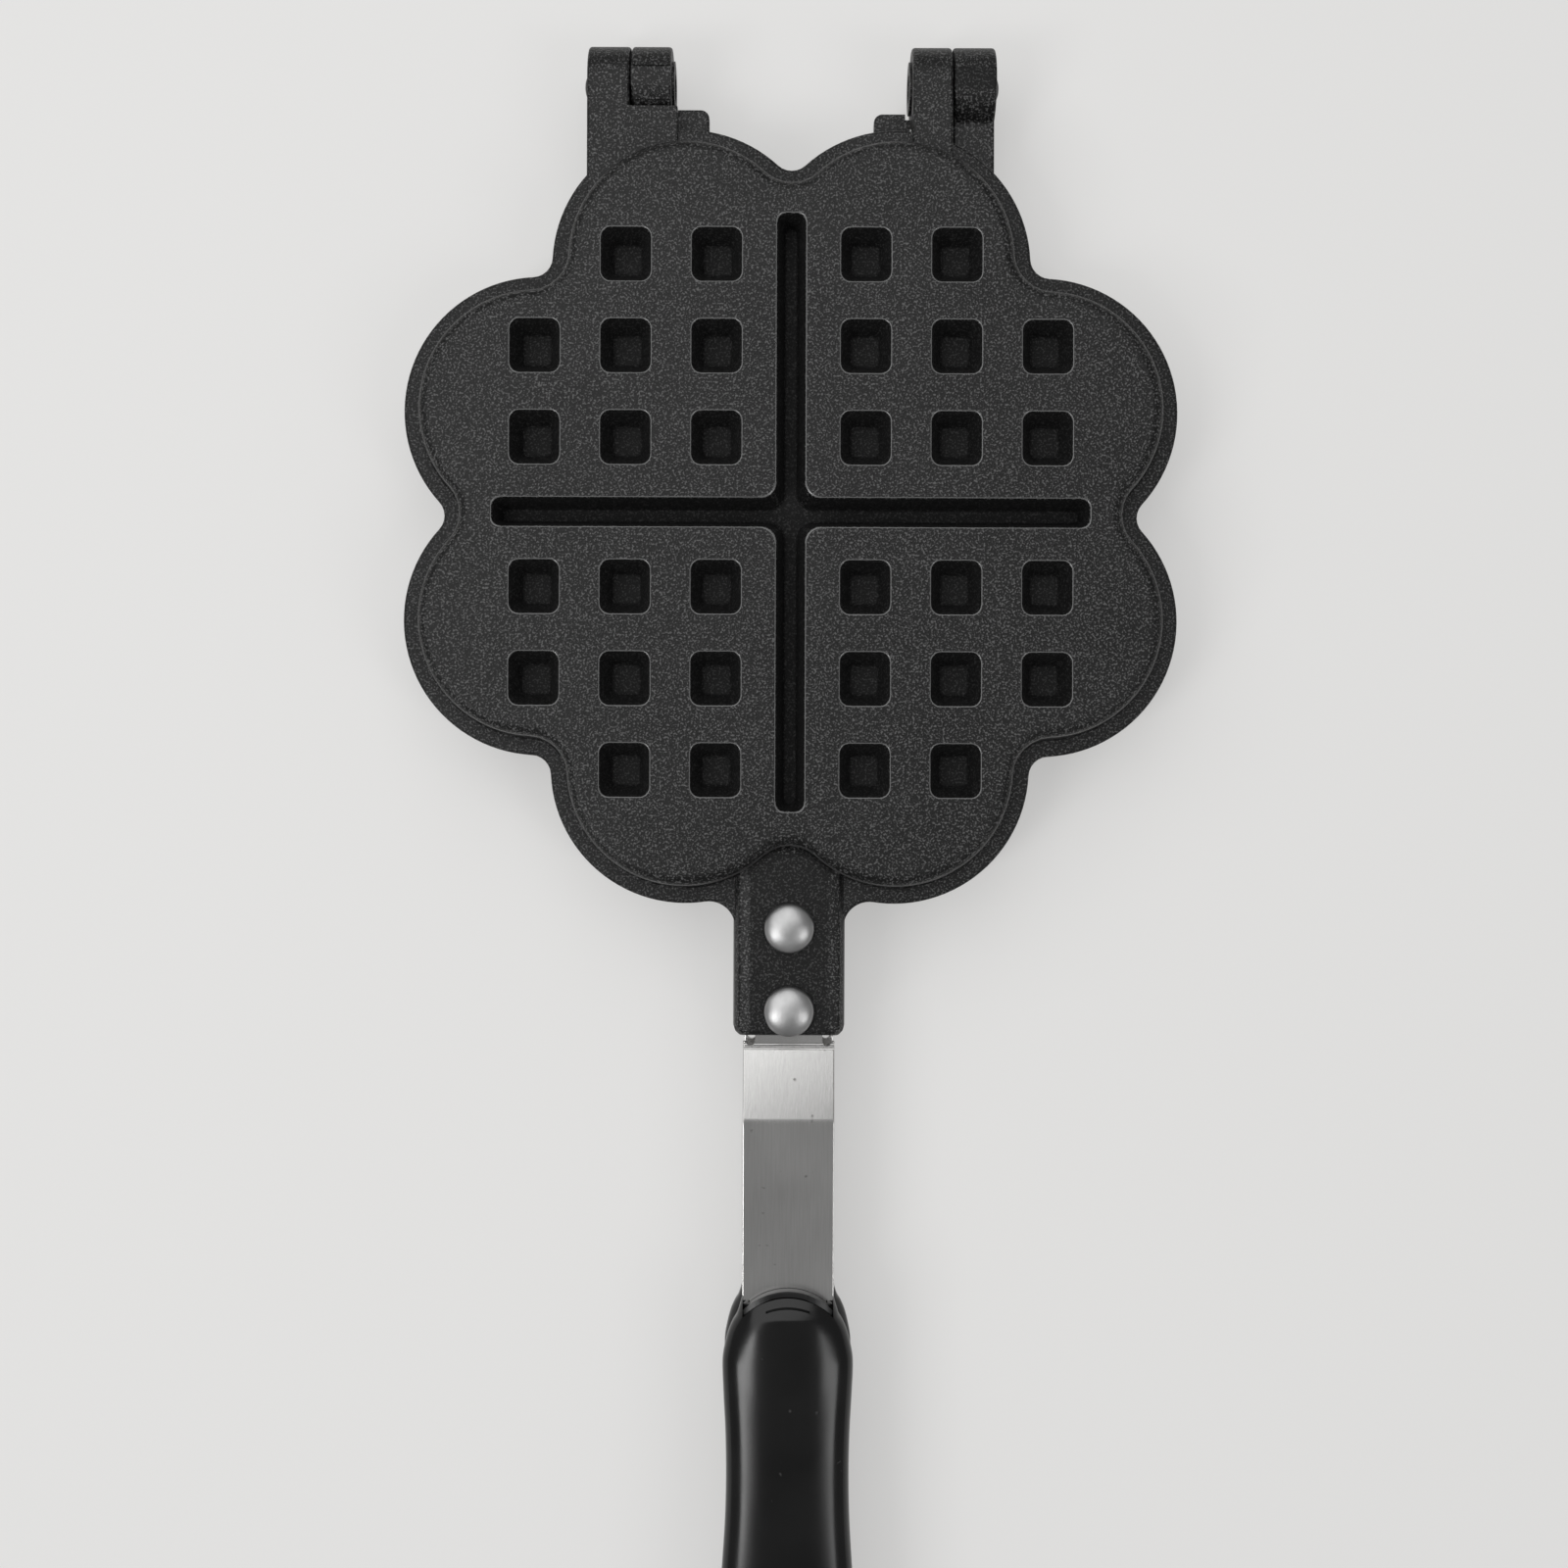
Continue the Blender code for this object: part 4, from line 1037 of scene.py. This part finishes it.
channel = block("channel", (-CHANNEL_HALF, -TANG_END - MM, -MM),
                (CHANNEL_HALF, -CHANNEL_START, CHANNEL_CEILING))
bore_end = OUTER_EAR_FACE + MM
bore = rod("bore", BORE_RADIUS, (-bore_end, HINGE_REACH, 0), (bore_end, HINGE_REACH, 0))
land_floor = [(HINGE_REACH + y, LAND_DEPTH - sqrt(EAR_RADIUS ** 2 - y ** 2)) for y in (LAND_START, LAND_END)]
land_outline = land_floor + [(y, -EAR_RADIUS - MM) for y, _ in reversed(land_floor)]
land = thicken(trace("land", [(INNER_EAR_FACE - MM, y, z) for y, z in land_outline]),
               (EAR_SPLIT + MM - INNER_EAR_FACE + MM, 0, 0))
cut(pan, pits, groove, channel, bore, land)
cut(pan, *[upright_rod("hole", RIVET_HOLE, reach, CHANNEL_CEILING - MM, TANG_TOP + MM)
           for reach in RIVET_REACHES.values()])
finish_surface(pan, coating)

# %% [markdown]
# The coating's shader needs to know where to darken and where to brighten. Each face of the
# casting stores a share from 0 to 1: little in the pits and the groove, where shade is
# painted, about half on top of the tang and under the barrels, a little less than all on the
# rim, and all of it on the broad faces. A second share is 1 on the faces with a painted
# highlight: the mouths of the pits and the groove, and the rounded edge of the pan.

# %% Shares of painted shade, tone and highlight on each face
# Low shares paint shade into the pits and the groove. The tang, the barrels' undersides and the rim are only
# made darker.
RECESS_SHADE_SHARE = 0.28
DARKER_TONE_SHARE = 0.46
RIM_TONE_SHARE = 0.85
MOUTH_TILTS = (radians(8), radians(38))
EDGE_TILTS = (radians(63), radians(84))


def near_pit(place, half):
    return any(max(abs(place.x - x), abs(place.y - y)) < half for x, y in PIT_PLACES)


def near_groove(place, half):
    short, long = sorted((abs(place.x), abs(place.y)))
    return short < half and long < GROOVE_ARM + MM


def in_recess(place):
    """True on the walls and floors of the pits and the groove."""
    if place.z > PAN_TOP - PIT_MOUTH:
        return False
    if place.z > PAN_TOP - PIT_DEPTH - PIT_MOUTH and near_pit(place, pit_half(place.z) + MM):
        return True
    return (place.z > PAN_TOP - GROOVE_DEPTH - PIT_MOUTH
            and near_groove(place, groove_half(place.z) + MM))


# Shade is painted into the recesses through their low share.
def shade_and_tone_share(face):
    place = face.center
    if in_recess(place):
        return RECESS_SHADE_SHARE
    rim_band = RIM_TOP - RIM_EDGE < place.z < RIM_TOP + FOOT_FILLET and place.y < NOTCH_REACH
    on_tang = place.y < -GABLE_PEAK and abs(place.x) < TANG_HALF - TANG_BEVEL
    under_barrel = place.y > HINGE_REACH - EAR_RADIUS and face.normal.z < 0
    on_land = under_barrel and place.z > -EAR_RADIUS + LAND_DEPTH
    if on_tang or under_barrel and not on_land:
        return DARKER_TONE_SHARE
    return RIM_TONE_SHARE if rim_band else 1.0


def edge_highlight_share(face):
    """1 on the rounded edge of the pan and on the mouths of the pits and the groove, where a highlight is
    painted.
    """
    place = face.center
    at_mouth = near_pit(place, PIT_HALF * PIT_STRETCH + MM) or near_groove(place, GROOVE_HALF + 2 * MM)
    depth, tilts = (PIT_MOUTH, MOUTH_TILTS) if at_mouth else (SHOULDER_RADIUS, EDGE_TILTS)
    return float(place.z > PAN_TOP - depth and tilts[0] < face.normal.angle(UP) < tilts[1])


for label, measure in ((SHADE_AND_TONE, shade_and_tone_share), (EDGE_HIGHLIGHT, edge_highlight_share)):
    shares = pan.data.attributes.new(label, "FLOAT", "FACE")
    for face, share in zip(pan.data.polygons, shares.data):
        share.value = measure(face)
    print(label, "mean over the faces:", round(sum(s.value for s in shares.data) / len(shares.data), 3))

# %% [markdown]
# ## Rivets and hinge pins
# A rivet starts as a cylinder, and its head is a flat dome: insets that follow a quarter of
# an ellipse. The pin's end is drawn in the same way.

# %% Rivets
HEAD_RADIUS = 5.75 * MM
HEAD_HEIGHT = 2.8 * MM
HEAD_RIM = 0.5 * MM
HEAD_LIFT = 0.3 * MM
HEAD_SEAT = TANG_TOP + HEAD_LIFT
SHANK_RADIUS = 2.4 * MM
TAIL_RADIUS = 4.0 * MM
TAIL_TOP = 5.4 * MM
TAIL_BOTTOM = 4.4 * MM
TAIL_EDGE = 0.25 * MM


def dome_steps(radius, height, count, last=0.03):
    """Insets along a quarter ellipse, from its rim almost to the middle."""
    turns = [pi / 2 * (1 - last) * i / count for i in range(count + 1)]
    return [(radius * (cos(a) - cos(b)), height * (sin(b) - sin(a))) for a, b in zip(turns, turns[1:])]


def make_rivet(name, reach):
    head = upright_rod(name, HEAD_RADIUS, reach, HEAD_SEAT, HEAD_SEAT + HEAD_RIM, points=64)
    grow(head, UP, dome_steps(HEAD_RADIUS, HEAD_HEIGHT - HEAD_RIM, 14))
    shank = upright_rod("shank", SHANK_RADIUS, reach, TAIL_TOP - MM / 2, HEAD_SEAT + MM / 4)
    tail = upright_rod("tail", TAIL_RADIUS, reach, TAIL_BOTTOM + TAIL_EDGE, TAIL_TOP)
    grow(tail, DOWN, bend(TAIL_EDGE, 90, 0, 3))
    weld(head, shank)
    weld(head, tail)
    return finish_surface(head, rivet_finish)


rivets = {place: make_rivet(f"rivet_{place}_upper", reach) for place, reach in RIVET_REACHES.items()}

# %% [markdown]
# The two hinge pins go in through the ears from the outside. The inner end of a pin has a
# small rounded edge, and its outer end a low dome.

# %% Hinge pins
PIN_RADIUS = 2.9 * MM
PIN_EDGE = 0.2 * MM
PIN_DOME = 1.2 * MM
EAST = Vector((1, 0, 0))


def make_pin(name, side):
    start = Vector((side * (INNER_EAR_FACE + PIN_EDGE), HINGE_REACH, 0))
    end = Vector((side * OUTER_EAR_FACE, HINGE_REACH, 0))
    pin = rod(name, PIN_RADIUS, start, end, points=40)
    grow(pin, EAST * side, dome_steps(PIN_RADIUS, PIN_DOME, 8))
    grow(pin, EAST * -side, bend(PIN_EDGE, 90, 0, 3))
    return finish_surface(pin, pin_finish)


pins = [make_pin("pin_left", -1), make_pin("pin_right", 1)]

# %% [markdown]
# ## Strap
# The strap is a flat steel bar. It leaves the channel under the tang, steps up to the height
# of the grip along a short ramp, and ends as a narrower tongue inside the grip. The side
# view is traced and extruded, and the long edges get the small rounding of sheared sheet.

# %% Strap
STRAP_HALF_THICKNESS = 1.0 * MM
STRAP_HALF = 10.5 * MM
STRAP_MIDDLE = 6.7 * MM
HANDLE_LEVEL = 8.75 * MM
STRAP_START = 86.3 * MM
RAMP_START = 121.8 * MM
RAMP_END = 138.8 * MM
RAMP_BEND = 0.6 * MM
STRAP_END = 240.0 * MM
STRAP_EDGE = 0.3 * MM
RAMP_SLOPE = atan2(HANDLE_LEVEL - STRAP_MIDDLE, RAMP_END - RAMP_START)


def ramp_bend(reach, z, from_slope, to_slope, count=5):
    """Centre points of a short bend, as reach, height and slope."""
    points = []
    for i in range(count + 1):
        slope = from_slope + (to_slope - from_slope) * i / count
        along = 2 * RAMP_BEND * i / count
        points.append((reach - RAMP_BEND + along, z + along * (from_slope + slope) / 2, slope))
    return points


centre_line = [
    (STRAP_START, STRAP_MIDDLE, 0),
    *ramp_bend(RAMP_START, STRAP_MIDDLE, 0, RAMP_SLOPE),
    *ramp_bend(RAMP_END, HANDLE_LEVEL - RAMP_BEND * RAMP_SLOPE, RAMP_SLOPE, 0),
    (STRAP_END, HANDLE_LEVEL, 0)]
over, under = [[(-reach + half * sin(slope), z + half * cos(slope)) for reach, z, slope in centre_line]
               for half in (STRAP_HALF_THICKNESS, -STRAP_HALF_THICKNESS)]
strap = side_piece("strap_upper", over + under[::-1], -STRAP_HALF, STRAP_HALF, STRAP_EDGE)
print("Slope of the ramp, radians:", round(RAMP_SLOPE, 4))

# %% [markdown]
# A neck with two round reliefs lets the strap bend at the end of the tang, where the press
# leaves two fine creases across it.

# %% Neck, tongue, holes and creases
NECK_START = 117.6 * MM
NECK_END = 120.8 * MM
NECK_HALF = 7.75 * MM
NECK_RELIEF = 1.0 * MM
TONGUE_START = 179.7 * MM
TONGUE_HALF = 8.8 * MM
SCREW_REACH = 230.0 * MM
SCREW_RADIUS = 1.9 * MM
GAP = 0.3 * MM
CREASES = (121.3 * MM, 122.3 * MM)
CREASE_RADIUS = 0.35 * MM
CREASE_DEPTH = 0.15 * MM


def side_cuts(half, start, end, top):
    """Two blocks that narrow the strap to a half width between two reaches."""
    outside = STRAP_HALF + MM
    return [block("side", (low, -end, 0), (high, -start, top))
            for low, high in ((half, outside), (-outside, -half))]


holes = [upright_rod("hole", RIVET_HOLE, reach, 0, TANG_TOP) for reach in RIVET_REACHES.values()]
screw_hole = upright_rod("hole", SCREW_RADIUS + GAP, SCREW_REACH, 0, PAN_TOP)
cut(strap, *side_cuts(NECK_HALF, NECK_START, NECK_END, TANG_TOP),
    *side_cuts(TONGUE_HALF, TONGUE_START, STRAP_END + MM, PAN_TOP), *holes, screw_hole)
cut(strap, *[upright_rod("relief", NECK_RELIEF, NECK_END, 0, TANG_TOP, points=24, x=x)
             for x in (NECK_HALF + NECK_RELIEF, -NECK_HALF - NECK_RELIEF)])
crease_z = STRAP_MIDDLE + STRAP_HALF_THICKNESS + CREASE_RADIUS - CREASE_DEPTH
for reach in CREASES:
    cut(strap, rod("crease", CREASE_RADIUS, (-STRAP_HALF - MM, -reach, crease_z),
                   (STRAP_HALF + MM, -reach, crease_z), points=24))
finish_surface(strap, strap_finish, angle=20)

# %% [markdown]
# ## Collar and grip
# The mouth of the grip is an arch seen from above. A thin moulded collar of the same arch
# closes it round the strap. The grip itself is a row of rounded oblong sections, narrow at
# the nose and swelling towards the palm, and each is extruded from the one before.

# %% Collar
COLLAR_NOSE = 176.9 * MM
COLLAR_THICKNESS = 1.4 * MM
COLLAR_RADIUS = 13.8 * MM
COLLAR_HALF_WIDTH = 10.3 * MM
COLLAR_HALF_HEIGHT = 4.6 * MM
COLLAR_EDGE = 0.25 * MM
COLLAR_BACK = COLLAR_NOSE + COLLAR_THICKNESS


def arch(reach, half_width, steps=24):
    """Points across the handle on an arc that bulges towards the plate."""
    half = asin(half_width / COLLAR_RADIUS)
    return arc((0, -reach - COLLAR_RADIUS), COLLAR_RADIUS, pi / 2 - half, pi / 2 + half, steps)


def tongue_space(end):
    """Room for the tongue from in front of the collar to a reach."""
    thick = STRAP_HALF_THICKNESS + GAP
    return block("space", (-TONGUE_HALF - GAP, -end, HANDLE_LEVEL - thick),
                 (TONGUE_HALF + GAP, -COLLAR_NOSE + MM, HANDLE_LEVEL + thick))


collar_plan = arch(COLLAR_NOSE, COLLAR_HALF_WIDTH) + arch(COLLAR_BACK, COLLAR_HALF_WIDTH)[::-1]
collar_half = COLLAR_HALF_HEIGHT - COLLAR_EDGE
collar = slab("collar_upper", collar_plan, HANDLE_LEVEL - collar_half, HANDLE_LEVEL + collar_half)
for towards in (UP, DOWN):
    grow(collar, towards, bend(COLLAR_EDGE, 90, 0, 4))
cut(collar, tongue_space(SCREW_REACH))

# %% Grip
GRIP_START = 178.0 * MM
GRIP_LENGTH = 122.0 * MM
GRIP_HALF_WIDTH = 14.8 * MM
GRIP_HALF_HEIGHT = 6.74 * MM
GRIP_ROUNDNESS = 2.7
GRIP_POINTS = 64
GRIP_SHARES = (
    (0.000, 0.690, 0.70), (0.040, 0.790, 0.90), (0.052, 0.850, 0.925), (0.069, 0.912, 0.945),
    (0.095, 0.970, 0.965), (0.125, 1.010, 0.98), (0.180, 0.997, 1.00), (0.262, 0.962, 1.00),
    (0.344, 0.950, 1.00), (0.426, 0.965, 1.00), (0.516, 1.010, 1.00), (0.623, 1.065, 1.00),
    (0.754, 1.080, 1.00), (0.852, 1.010, 0.98), (0.918, 0.890, 0.92), (0.963, 0.720, 0.80),
    (0.990, 0.500, 0.60), (1.000, 0.280, 0.36))


def smooth_between(rows, count):
    """More rows on a smooth curve through the given ones, which stay on it."""
    result = []
    for before, a, b, after in zip((rows[0], *rows), rows, rows[1:], (*rows[2:], rows[-1])):
        span = b[0] - a[0]
        for step in range(count):
            t = step / count
            row = [a[0] + span * t]
            for k in (1, 2):
                slope_a = (b[k] - before[k]) / (b[0] - before[0])
                slope_b = (after[k] - a[k]) / (after[0] - a[0])
                row.append((2 * t ** 3 - 3 * t ** 2 + 1) * a[k] + (t ** 3 - 2 * t ** 2 + t) * span * slope_a
                           + (3 * t ** 2 - 2 * t ** 3) * b[k] + (t ** 3 - t ** 2) * span * slope_b)
            result.append(tuple(row))
    return result + [rows[-1]]


def grip_section(along, wide, high):
    """One rounded oblong across the grip, with shares of its length, width and height."""
    power = 2 / GRIP_ROUNDNESS
    reach = GRIP_START + GRIP_LENGTH * along
    ring = []
    for i in range(GRIP_POINTS):
        a = 2 * pi * (i + 0.5) / GRIP_POINTS
        x = abs(cos(a)) ** power * (1 if cos(a) >= 0 else -1)
        z = abs(sin(a)) ** power * (1 if sin(a) >= 0 else -1)
        ring.append((GRIP_HALF_WIDTH * wide * x, -reach, HANDLE_LEVEL + GRIP_HALF_HEIGHT * high * z))
    return ring


grip = loft("grip_upper", [grip_section(*row) for row in smooth_between(GRIP_SHARES, 4)])
print("Grip, points:", len(grip.data.vertices))

# %% [markdown]
# The nose of the grip is cut back to the arch of the collar, with a fine seam between them.
# A narrow slit of the same arch lies just behind, and a flat pocket takes the tongue.

# %% Mouth and slit of the grip
SEAM = 0.05 * MM
SLIT_REACH = 180.2 * MM
SLIT_WIDTH = 0.55 * MM
SLIT_HALF = 5.0 * MM
SLIT_FLOOR = HANDLE_LEVEL + 4.3 * MM
MOUTH_SIDE = COLLAR_HALF_WIDTH + SEAM
mouth_plan = [(MOUTH_SIDE, -COLLAR_NOSE + MM), *arch(COLLAR_BACK + SEAM, MOUTH_SIDE, steps=25),
              (-MOUTH_SIDE, -COLLAR_NOSE + MM)]
slit_plan = arch(SLIT_REACH, SLIT_HALF) + arch(SLIT_REACH + SLIT_WIDTH, SLIT_HALF)[::-1]
cut(grip, slab("mouth", mouth_plan, -MM, 2 * PAN_TOP - MM))
cut(grip, slab("slit", slit_plan, SLIT_FLOOR, SLIT_FLOOR + PAN_TOP))
cut(grip, tongue_space(STRAP_END + GAP))

# %% [markdown]
# The collar ends flush with the grip, so what stands out beyond the grip's nose is trimmed
# off by a sheath of the same section.

# %% The collar ends flush with the grip
SHEATH_ENDS = (-0.02, 0.10)
SHEATH_SHARES = (0.80, 0.695)
sheath = loft("sheath", [grip_section(along, *SHEATH_SHARES) for along in SHEATH_ENDS])
combine(collar, "INTERSECT", [sheath])
finish_surface(collar, collar_finish)

# %% [markdown]
# ## Grip screw
# A pan-head screw enters each grip from the side that faces the other half and ties it to
# the strap's tongue. Its head sits in a recess and has a cross slot.

# %% Recess in the grip
SCREW_HEAD_RADIUS = 3.5 * MM
SCREW_HEAD_HEIGHT = 2.2 * MM
SCREW_SINK = 0.6 * MM
SCREW_COVER = 2.5 * MM
GRIP_FACE = HANDLE_LEVEL - GRIP_HALF_HEIGHT
SCREW_TIP = HANDLE_LEVEL + GRIP_HALF_HEIGHT - SCREW_COVER
SCREW_SEAT = GRIP_FACE + SCREW_SINK
RECESS_FLOOR = SCREW_SEAT + SCREW_HEAD_HEIGHT
cut(grip, upright_rod("recess", SCREW_HEAD_RADIUS + GAP, SCREW_REACH, GRIP_FACE - MM, RECESS_FLOOR))
cut(grip, upright_rod("shank_hole", SCREW_RADIUS + GAP, SCREW_REACH, GRIP_FACE, SCREW_TIP + GAP))
finish_surface(grip, grip_finish)

# %% [markdown]
# The screw is a short cylinder with a rounded rim, a thinner shank and two crossed slots. It
# seats in the recess that the grip already has.

# %% Screw
SCREW_EDGE = 0.7 * MM
SLOT_HALF = 0.45 * MM
SLOT_LENGTH = 2.0 * MM
SLOT_DEPTH = 1.1 * MM
SCREW_UNDER = RECESS_FLOOR - GAP


def slot_bar(half_x, half_y):
    return block("slot", (-half_x, -SCREW_REACH - half_y, SCREW_SEAT - MM),
                 (half_x, -SCREW_REACH + half_y, SCREW_SEAT + SLOT_DEPTH))


screw = upright_rod("screw_upper", SCREW_HEAD_RADIUS, SCREW_REACH, SCREW_SEAT + SCREW_EDGE, SCREW_UNDER,
                    points=40)
grow(screw, DOWN, bend(SCREW_EDGE, 90, 0, 5))
weld(screw, upright_rod("shank", SCREW_RADIUS, SCREW_REACH, SCREW_UNDER - MM / 2, SCREW_TIP, points=32))
cut(screw, weld(slot_bar(SLOT_LENGTH, SLOT_HALF), slot_bar(SLOT_HALF, SLOT_LENGTH)))
finish_surface(screw, screw_finish)

# %% [markdown]
# ## Two halves from one
# The lower half is the same set turned over about the long axis. Each piece is copied with
# its own mesh, turned, and put in its place in the iron, and all of that goes into the mesh.

# %% Place the upper half and turn a copy for the lower half
half_pieces = [
    (pan, "casting", "plate", "nonstick_coating"),
    (rivets["rear"], "rivet_rear", "rear_rivet", "satin_aluminium"),
    (rivets["front"], "rivet_front", "front_rivet", "satin_aluminium"),
    (strap, "strap", "strap", "brushed_strap"),
    (collar, "collar", "collar", "collar_plastic"),
    (grip, "grip", "grip", "grip_plastic"),
    (screw, "screw", "grip_screw", "screw_steel")]


def settle(piece, name, turn):
    """Put a piece in its place in the iron, with the place in its mesh."""
    pick(piece)
    piece.rotation_euler = (0, turn, 0)
    piece.location = casting_place
    return newest(name)


for piece, label, node, slot in half_pieces:
    turned_copy = copy_of(piece)
    for half, body_piece, turn in (("upper", piece, 0.0), ("lower", turned_copy, pi)):
        settle(body_piece, label + "_" + half, turn)
        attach(body_piece, half + "_half")
        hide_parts(half + "_" + node)
for pin in pins:
    settle(pin, pin.name, 0.0)
    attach(pin, "lower_half")
    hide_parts("hinge_" + pin.name)
print("Placed:", len(half_pieces) * 2 + len(pins), "pieces")
